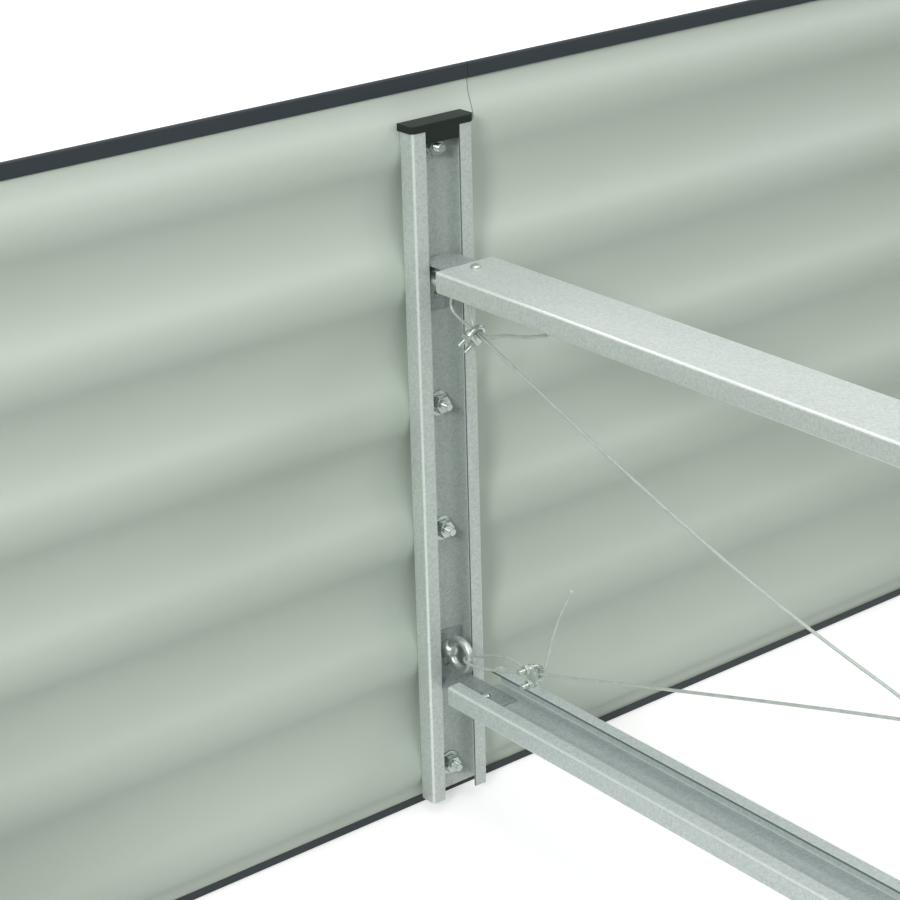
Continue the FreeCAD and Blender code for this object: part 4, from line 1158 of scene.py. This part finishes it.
@dataclass
class Fasteners(Assembly):
    """Bolts, nuts, washers and screws, each kind made by one tree of Geometry Nodes."""

    post_nut: dict[str, float] = sizes(nut_flats=14.5, nut_height=6.8, washer_width=22.5, washer_gauge=1.4,
                                       shank_width=7.6, shank_reach=15.6, thread_pitch=1.25)
    post_bolt: dict[str, float] = sizes(head_width=15, head_rise=3.5, head_rim=0.2, neck_width=6,
                                        neck_length=4)
    panel_screw: dict[str, float] = sizes(nut_flats=8, nut_height=4, flange_width=11, flange_gauge=0.9)
    brace_screw: dict[str, float] = sizes(head_width=9.5, head_rise=3, nut_flats=8, nut_height=4,
                                          nut_seat=-8.5, shank_width=5, shank_reach=11.5, thread_pitch=0.8)
    head_seats: tuple[float, ...] = (-6.0, -6.54, -6.54, -6.54, -6.54, -5.04)
    brace_screw_levels: tuple[float, float] = (526.5, 126.9)
    brace_screw_seat: float = -66.5
    corner_inset: float = 12.0
    head_sides: int = 28
    dome_sides: int = 32
    washer_sides: int = 40
    neck_sides: int = 12

    def post_nuts(self) -> None:
        """A washer, a nut and a threaded end on each post bolt that carries no eye nut."""
        tree = PartTree("washer_and_nut", self.post_nut)
        gauge = tree["washer_gauge"]
        one = tree.joined(tree.bar(tree["washer_width"], gauge, 0.0, self.washer_sides), tree.nut(gauge),
                          tree.thread(0.0))
        eyes = (self.layout.low_eye, self.layout.high_eye)
        places = [(wall.spot(0, self.layout.post_face, level), wall.way(0, -1, 0)) for wall, _ in LONG_WALLS
                  for level in self.layout.bolts if level not in eyes]
        self.seat(tree, one, "nuts_on_posts", places, "post_nuts", "post_washers")

    def post_bolts(self) -> None:
        """A domed head outside for each post bolt."""
        tree = PartTree("domed_head", self.post_bolt)
        width, rim, neck = tree["head_width"], tree["head_rim"], tree["neck_length"]
        radius = width * 0.5
        ball = tree.socket("GeometryNodeMeshUVSphere", {
            "Segments": self.dome_sides, "Rings": self.dome_sides // 2, "Radius": radius})
        dome = tree.socket("GeometryNodeTransform", {
            "Geometry": ball, "Scale": tree.vector(1.0, 1.0, tree["head_rise"] / radius)})
        height = tree.axes(tree.socket("GeometryNodeInputPosition"))[2]
        under = tree.socket("FunctionNodeCompare", {0: height, 1: -0.02 * MM}, operation="LESS_THAN")
        cap = tree.socket("GeometryNodeDeleteGeometry", {"Geometry": dome, "Selection": under},
                          domain="POINT")
        one = tree.joined(cap, tree.bar(width, rim, rim * -1.0, self.dome_sides),
                          tree.bar(tree["neck_width"], neck, neck * -1.0, self.neck_sides))
        places = [(wall.spot(0, seat, level), wall.way(0, 1, 0)) for wall, _ in LONG_WALLS
                  for seat, level in zip(self.head_seats, self.layout.bolts)]
        self.seat(tree, one, "bolt_heads", places, "post_bolts")

    def panel_screws(self) -> None:
        """Hexagon washer-head screws along the corner posts."""
        tree = PartTree("washer_head_screw", self.panel_screw)
        flange = tree.bar(tree["flange_width"], tree["flange_gauge"], 0.0, self.head_sides, 0.9)
        one = tree.joined(flange, tree.nut())
        long, short = (reach - self.corner_inset for reach in (self.layout.long_reach, self.layout.end_reach))
        places = [(wall.spot(side * reach, self.layout.post_face, level), wall.way(0, -1, 0))
                  for wall, reach in zip(Wall, (long, long, short, short)) for side in (1, -1)
                  for level in (self.layout.ribs[1], self.layout.ribs[-2])]
        self.seat(tree, one, "corner_screws", places, "panel_screws", slot="screw")

    def brace_screws(self) -> None:
        """A button-head screw at each brace end, with its nut and threaded end below."""
        tree = PartTree("button_screw", self.brace_screw)
        width, rise = tree["head_width"], tree["head_rise"]
        layers = ((1.0, 0.4, 0.0, 0.97), (0.97, 0.38, 0.4, 0.78), (0.757, 0.22, 0.78, 0.62))
        head = [tree.bar(width * wide, rise * tall, rise * foot, self.head_sides, taper)
                for wide, tall, foot, taper in layers]
        one = tree.joined(*head, tree.thread(tree["shank_reach"] * -1.0),
                          tree.lifted(tree.nut(), tree["nut_seat"]))
        places = [(wall.spot(0, self.brace_screw_seat, level), UP) for wall, _ in LONG_WALLS
                  for level in self.brace_screw_levels]
        self.seat(tree, one, "button_screws", places, "brace_screws", "brace_nuts")

    def build(self) -> None:
        """Make every kind."""
        self.post_nuts()
        self.post_bolts()
        self.panel_screws()
        self.brace_screws()


@dataclass
class EyeNuts(Assembly):
    """Four eye nuts: a ring on a hub, screwed on a post bolt in front of the bracket."""

    width: float = 36.0
    bar: float = 8.0
    stand: float = 19.4
    ring_sides: int = 48
    bar_sides: int = 20
    hub_sides: int = 32
    hub: Outline = (
        (7.9, 0.0), (8.5, 0.6), (8.5, 3.6), (7.8, 5.6), (6.3, 7.6), (4.9, 9.6), (3.3, 10.8))

    def build(self) -> None:
        """Make all four: the upper rings lie flat, the lower ones stand."""
        face, radius = self.layout.bracket_face, (self.width - self.bar) / 2 * MM
        for wall, side in LONG_WALLS:
            inward = wall.way(0, -1, 0)
            turn = inward.to_track_quat("Z", "Y").to_matrix().to_4x4()
            for place, level, across in ((f"top_{side}", self.layout.high_eye, wall.way(1, 0, 0)),
                                         (f"bottom_{side}", self.layout.low_eye, UP)):
                shape = bmesh.new()
                centre = wall.spot(0, face - self.stand, level)
                path = [centre + (inward * x + across * y) * radius for x, y in circle(self.ring_sides)]
                tube(shape, path, self.bar / 2 * MM, self.bar_sides, closed=True)
                foot = Matrix.Translation(wall.spot(0, face, level))
                turned(shape, self.hub, foot @ turn, self.hub_sides)
                keep(mesh_object(f"ring_nut_{place}", shape, 50.0), self.palette.cast, "eye_nut",
                     f"eye_nut_{place}")


@dataclass
class TieWires(Assembly):
    """Two stranded wires that cross in the middle of the bed, looped through the eye nuts and clipped.

    A row of an end holds the place along the bed, the distance from the wall and the height above the eye.
    A clip has the same three numbers, and the directions of its legs and of the wire in it. The turns lead
    from the wire that starts at the top of the rear wall to each wire.
    """

    half_width: float = 570.0
    strand: dict[str, float] = sizes(wire_width=2.9, lay=16.0, sampling=1.3)
    high_end: tuple[Spot, ...] = (
        (4.0, 153.0, -19.7), (3.8, 140.0, -24.4), (3.2, 122.0, -29.6), (2.4, 104.0, -32.5),
        (1.3, 89.0, -37.2), (0.88, 78.0, -41.22), (0.88, 59.5, -34.93), (0.9, 57.0, -22.7), (0.3, 53.0, 7.2),
        (-0.3, 39.5, 7.2), (-0.5, 36.5, -10.7), (-0.8, 31.5, -22.2), (-0.95, 38.0, -30.2),
        (-0.88, 59.0, -36.52), (-0.88, 80.0, -43.66), (-0.8, 100.0, -51.5), (-0.5, 127.0, -62.3),
        (0.0, 180.0, -82.8), (0.6, 270.0, -117.1), (1.1, 370.0, -151.1), (1.4, 470.0, -178.5),
        (1.7, 570.0, -200.1))
    low_end: tuple[Spot, ...] = (
        (1.3, 152.0, 27.1), (1.3, 124.0, 18.5), (3.4, 94.0, 8.9), (4.75, 64.0, -0.1), (4.75, 40.0, -1.1),
        (-4.75, 40.0, 1.5), (-4.75, 56.0, 5.9), (-4.3, 78.0, 15.9), (-3.2, 102.0, 21.9), (-1.3, 124.0, 18.9),
        (-1.3, 145.0, 25.3), (-1.6, 149.5, 38.3), (-1.9, 156.0, 62.3), (-2.2, 167.0, 90.3),
        (-2.4, 181.0, 115.3))
    high_clip: tuple[Spot, Spot, Spot] = ((0.0, 68.0, -38.7), (-1.0, 0.0, -1.0), (0.0, -1.0, -0.34))
    low_clip: tuple[Spot, Spot, Spot] = ((0.0, 138.0, 22.8), (1.0, 0.0, 0.0), (0.0, -1.0, -0.305))
    strands: int = 6
    strand_relief: float = 0.2
    strand_sides: int = 30
    spread: float = 13.0
    rod_radius: float = 2.3
    rod_sides: int = 16
    leg_end: float = 19.5
    bend_centre: float = 1.3
    ridge: Outline = ((2.2, 0.0), (2.5, 0.3), (2.5, 0.42), (2.2, 0.72))
    ridge_pitch: float = 0.8
    ridges: int = 8
    thread_length: float = 6.6
    saddle_face: float = 2.7
    saddle_gauge: float = 6.0
    bridge_length: float = 21.0
    bridge_width: float = 9.6
    bridge_layers: Outline = ((1.8, 0.94), (2.3, 1.0), (5.5, 1.0), (6.0, 0.94))
    cradle_width: float = 8.4
    cradle_length: float = 12.5
    cradle_layers: Outline = ((0.0, 0.8), (0.7, 1.0), (3.6, 1.0), (4.2, 0.8))
    clip_nut: dict[str, float] = sizes(nut_flats=8, nut_height=4)
    turns: dict[str, Matrix] = field(default_factory=lambda: {
        "rear": Matrix.Identity(4), "front": Matrix.Rotation(math.pi, 4, "Z")})

    def spot(self, row: Spot, high: bool) -> Vector:
        """A row of the high end, at the rear wall, or of the low one, as a point of the bed in metres."""
        side, level = (-1, self.layout.high_eye) if high else (1, self.layout.low_eye)
        return Vector((row[0], side * (row[1] - self.half_width), level + row[2])) * MM

    def wire_tree(self) -> PartTree:
        """A tree that lays six strands round a curve.

        Returns:
            The tree, ready to run on a curve.
        """
        tree = PartTree("stranded_wire", self.strand)
        line = tree.socket("GeometryNodeResampleCurve",
                           {"Curve": tree.entry.outputs[0], "Length": tree["sampling"]}, mode="LENGTH")
        along = Field(tree, tree.node("GeometryNodeSplineParameter").outputs["Length"])
        laid = tree.socket("GeometryNodeSetCurveTilt", {
            "Curve": line, "Tilt": along / tree["lay"] * math.tau})
        ring = tree.socket("GeometryNodeCurvePrimitiveCircle", {
            "Resolution": self.strand_sides, "Radius": tree["wire_width"] * 0.5})
        place = tree.socket("GeometryNodeInputPosition")
        x, y, _ = tree.axes(place)
        wave = abs((y.math("ARCTAN2", x) * (self.strands / 2)).math("COSINE"))
        lobes = tree.socket("ShaderNodeVectorMath", {
            0: place, 3: wave * self.strand_relief + (1 - self.strand_relief)}, operation="SCALE")
        profile = tree.socket("GeometryNodeSetPosition", {"Geometry": ring, "Position": lobes})
        tree.close(tree.socket("GeometryNodeCurveToMesh", {
            "Curve": laid, "Profile Curve": profile, "Fill Caps": True}), self.palette.wire)
        return tree

    def wires(self) -> None:
        """Both wires, each on a smooth line through its route."""
        tree = self.wire_tree()
        points = [self.spot(row, high=True) for row in self.high_end]
        points += [self.spot(row, high=False) for row in self.low_end]
        for side, turn in self.turns.items():
            line = bpy.data.curves.new(f"tie_wire_{side}", "CURVE")
            line.dimensions = "3D"
            spline = line.splines.new("NURBS")
            spline.points.add(len(points) - 1)
            for control, point in zip(spline.points, points):
                control.co = (*(turn @ point), 1.0)
            spline.order_u = 3
            spline.use_endpoint_u = True
            spline.resolution_u = 16
            keep(tree.applied(placed(line.name, line)), self.palette.wire, "wire", f"wire_from_{side}_top")

    @property
    def clip_frames(self) -> list[Matrix]:
        """Frame of each clip, in metres: Y along its legs towards the nuts, Z along the wires.

        Returns:
            Two frames for each wire.
        """
        frames = []
        for (middle, legs, run), high in ((self.high_clip, True), (self.low_clip, False)):
            along = Vector(run).normalized()
            across = Vector(legs).cross(along).normalized()
            turn = Matrix((across, along.cross(across).normalized(), along)).transposed().to_4x4()
            frames.append(Matrix.Translation(self.spot(middle, high)) @ turn)
        return [turn @ frame for turn in self.turns.values() for frame in frames]

    def u_bolts(self) -> None:
        """The rods that are bent round the wires, with their threads."""
        shape = bmesh.new()
        half = self.spread / 2
        path = [(half, self.leg_end), (half, self.saddle_face)]
        path += [(half * math.cos(turn), self.bend_centre - half * math.sin(turn))
                 for turn in spaced(0.0, math.pi, self.rod_sides)]
        path += [(-half, self.saddle_face), (-half, self.leg_end)]
        start = self.leg_end - self.thread_length
        for frame in self.clip_frames:
            tube(shape, [frame @ (Vector((x, y, 0)) * MM) for x, y in path], self.rod_radius * MM,
                 self.rod_sides)
            for side in (half, -half):
                for number in range(self.ridges):
                    foot = Matrix.Translation(Vector((side, start + self.ridge_pitch * number, 0)) * MM)
                    turn = Matrix.Rotation(-QUARTER, 4, "X")
                    turned(shape, self.ridge, frame @ foot @ turn, self.rod_sides)
        keep(mesh_object("clip_rods", shape, 40.0), self.palette.zinc, "clip", "clip_u_bolts")

    def clip_nuts(self) -> None:
        """A nut on each leg of the clips."""
        tree = PartTree("clip_nut", self.clip_nut)
        face = self.saddle_face + self.saddle_gauge
        places = [(frame @ (Vector((side * self.spread / 2, face, 0)) * MM),
                   frame.to_3x3() @ Vector((0, 1, 0))) for frame in self.clip_frames for side in (1, -1)]
        self.seat(tree, tree.nut(), "nuts_on_clips", places, "clip_nuts", slot="clip")

    def bridges(self) -> None:
        """The cast bridges between wires and nuts: a bar with round ends on a short cradle."""
        shape = bmesh.new()
        half = self.bridge_width / 2
        arm = self.bridge_length / 2 - half
        bar = [(side * (arm + half * math.cos(turn)), side * half * math.sin(turn))
               for side in (1, -1) for turn in spaced(-QUARTER, QUARTER, 10)]
        wide, tall = self.cradle_width / 2, self.cradle_length / 2
        cradle = [(wide, tall), (-wide, tall), (-wide, -tall), (wide, -tall)]
        for frame in self.clip_frames:
            for outline, layers in ((bar, self.bridge_layers), (cradle, self.cradle_layers)):
                skin(shape, [[shape.verts.new(frame @ (Vector((
                    x * share, self.saddle_face + level, z * share)) * MM)) for x, z in outline]
                    for level, share in layers])
        keep(mesh_object("clip_bridges", shape), self.palette.cast, "clip", "clip_saddles")

    def build(self) -> None:
        """Make both wires and all four clips."""
        self.wires()
        self.u_bolts()
        self.clip_nuts()
        self.bridges()


# ------------------------------------------------------------
# studio


@dataclass(frozen=True)
class SoftBox:
    """A square soft lamp that looks at a target; metres and watts."""

    name: str
    spot: Spot
    target: Spot
    size: float
    power: float

    def build(self) -> None:
        """Hang the lamp."""
        data = bpy.data.lights.new(self.name, "AREA")
        data.shape = "SQUARE"
        data.size = self.size
        data.energy = self.power
        way = Vector(self.target) - Vector(self.spot)
        turn = way.to_track_quat("-Z", "Y").to_matrix().to_4x4()
        placed(self.name, data).matrix_world = Matrix.Translation(self.spot) @ turn


@dataclass
class Studio:
    """Camera at the photograph's angle, soft lamps, a white backdrop and a pale floor; metres and degrees."""

    lens: float = 99.0176
    sensor: float = 36.0
    eye: Spot = (-1.2259, -1.0119, 1.1679)
    yaw: float = 38.227
    pitch: float = 22.413
    roll: float = -1.594
    sky: float = 0.47
    floor_reach: float = 12.0
    floor_level: float = -0.0004
    boxes: tuple[SoftBox, ...] = (
        SoftBox("top_box", (-0.2, -0.3, 3.2), (0.0, 0.2, 0.3), 2.0, 25.0),
        SoftBox("left_box", (-2.4, -1.1, 1.9), (0.0, 0.5, 0.3), 0.6, 42.0),
        SoftBox("right_box", (2.0, -1.4, 2.3), (0.0, 0.5, 0.3), 1.0, 9.0),
        SoftBox("back_box", (0.3, 2.9, 2.6), (0.0, 0.0, 0.35), 1.0, 15.0))

    def camera(self) -> None:
        """Place the camera."""
        data = bpy.data.cameras.new("camera")
        data.lens = self.lens
        data.sensor_width = self.sensor
        data.clip_start = 0.02
        data.clip_end = 100.0
        yaw, pitch, roll = (math.radians(value) for value in (self.yaw, self.pitch, self.roll))
        ahead = Vector((math.sin(yaw) * math.cos(pitch), math.cos(yaw) * math.cos(pitch), -math.sin(pitch)))
        right = Vector((math.cos(yaw), -math.sin(yaw), 0.0))
        above = right.cross(ahead)
        side = right * math.cos(roll) + above * math.sin(roll)
        top = above * math.cos(roll) - right * math.sin(roll)
        turn = Matrix((side, top, -ahead)).transposed().to_4x4()
        camera = placed("camera", data)
        camera.matrix_world = Matrix.Translation(self.eye) @ turn
        bpy.context.scene.camera = camera

    def backdrop(self) -> None:
        """A world that lights softly and that the camera and gloss see as white."""
        world = bpy.data.worlds.new("studio")
        world.use_nodes = True
        bpy.context.scene.world = world
        tree = NodeTree(world.node_tree)
        path = tree.node("ShaderNodeLightPath").outputs
        seen = Field(tree, path["Is Camera Ray"])
        for kind in ("Is Glossy Ray", "Is Transmission Ray"):
            seen = seen.math("MAXIMUM", path[kind])
        light = tree.socket("ShaderNodeBackground", {"Color": WHITE, "Strength": self.sky})
        white = tree.socket("ShaderNodeBackground", {"Color": WHITE})
        mix = tree.socket("ShaderNodeMixShader", {0: seen, 1: light, 2: white})
        tree.node("ShaderNodeOutputWorld", {0: mix})

    def floor(self) -> None:
        """A large pale floor at the ground."""
        shape = bmesh.new()
        shape.faces.new([shape.verts.new((x * self.floor_reach, y * self.floor_reach, self.floor_level))
                         for x, y in ((-1, -1), (1, -1), (1, 1), (-1, 1))])
        plane = mesh_object("floor", shape)
        plane.data.materials.append(StudioFloor().build())

    def build(self) -> None:
        """Set the whole studio."""
        bpy.context.scene.view_settings.view_transform = "Standard"
        self.camera()
        self.backdrop()
        self.floor()
        for box in self.boxes:
            box.build()


def main() -> None:
    """Build the bed from its panels to its wires, and set the studio."""
    logging.basicConfig(level=logging.INFO, format="%(name)s: %(message)s")
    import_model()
    layout = Layout()
    palette = Palette()
    for assembly in (CorrugatedWalls, EdgeTrims, WallPosts, CornerPosts, Braces, Fasteners, EyeNuts,
                     TieWires):
        assembly(layout, palette).build()
    Studio().build()


if __name__ == "__main__":
    main()
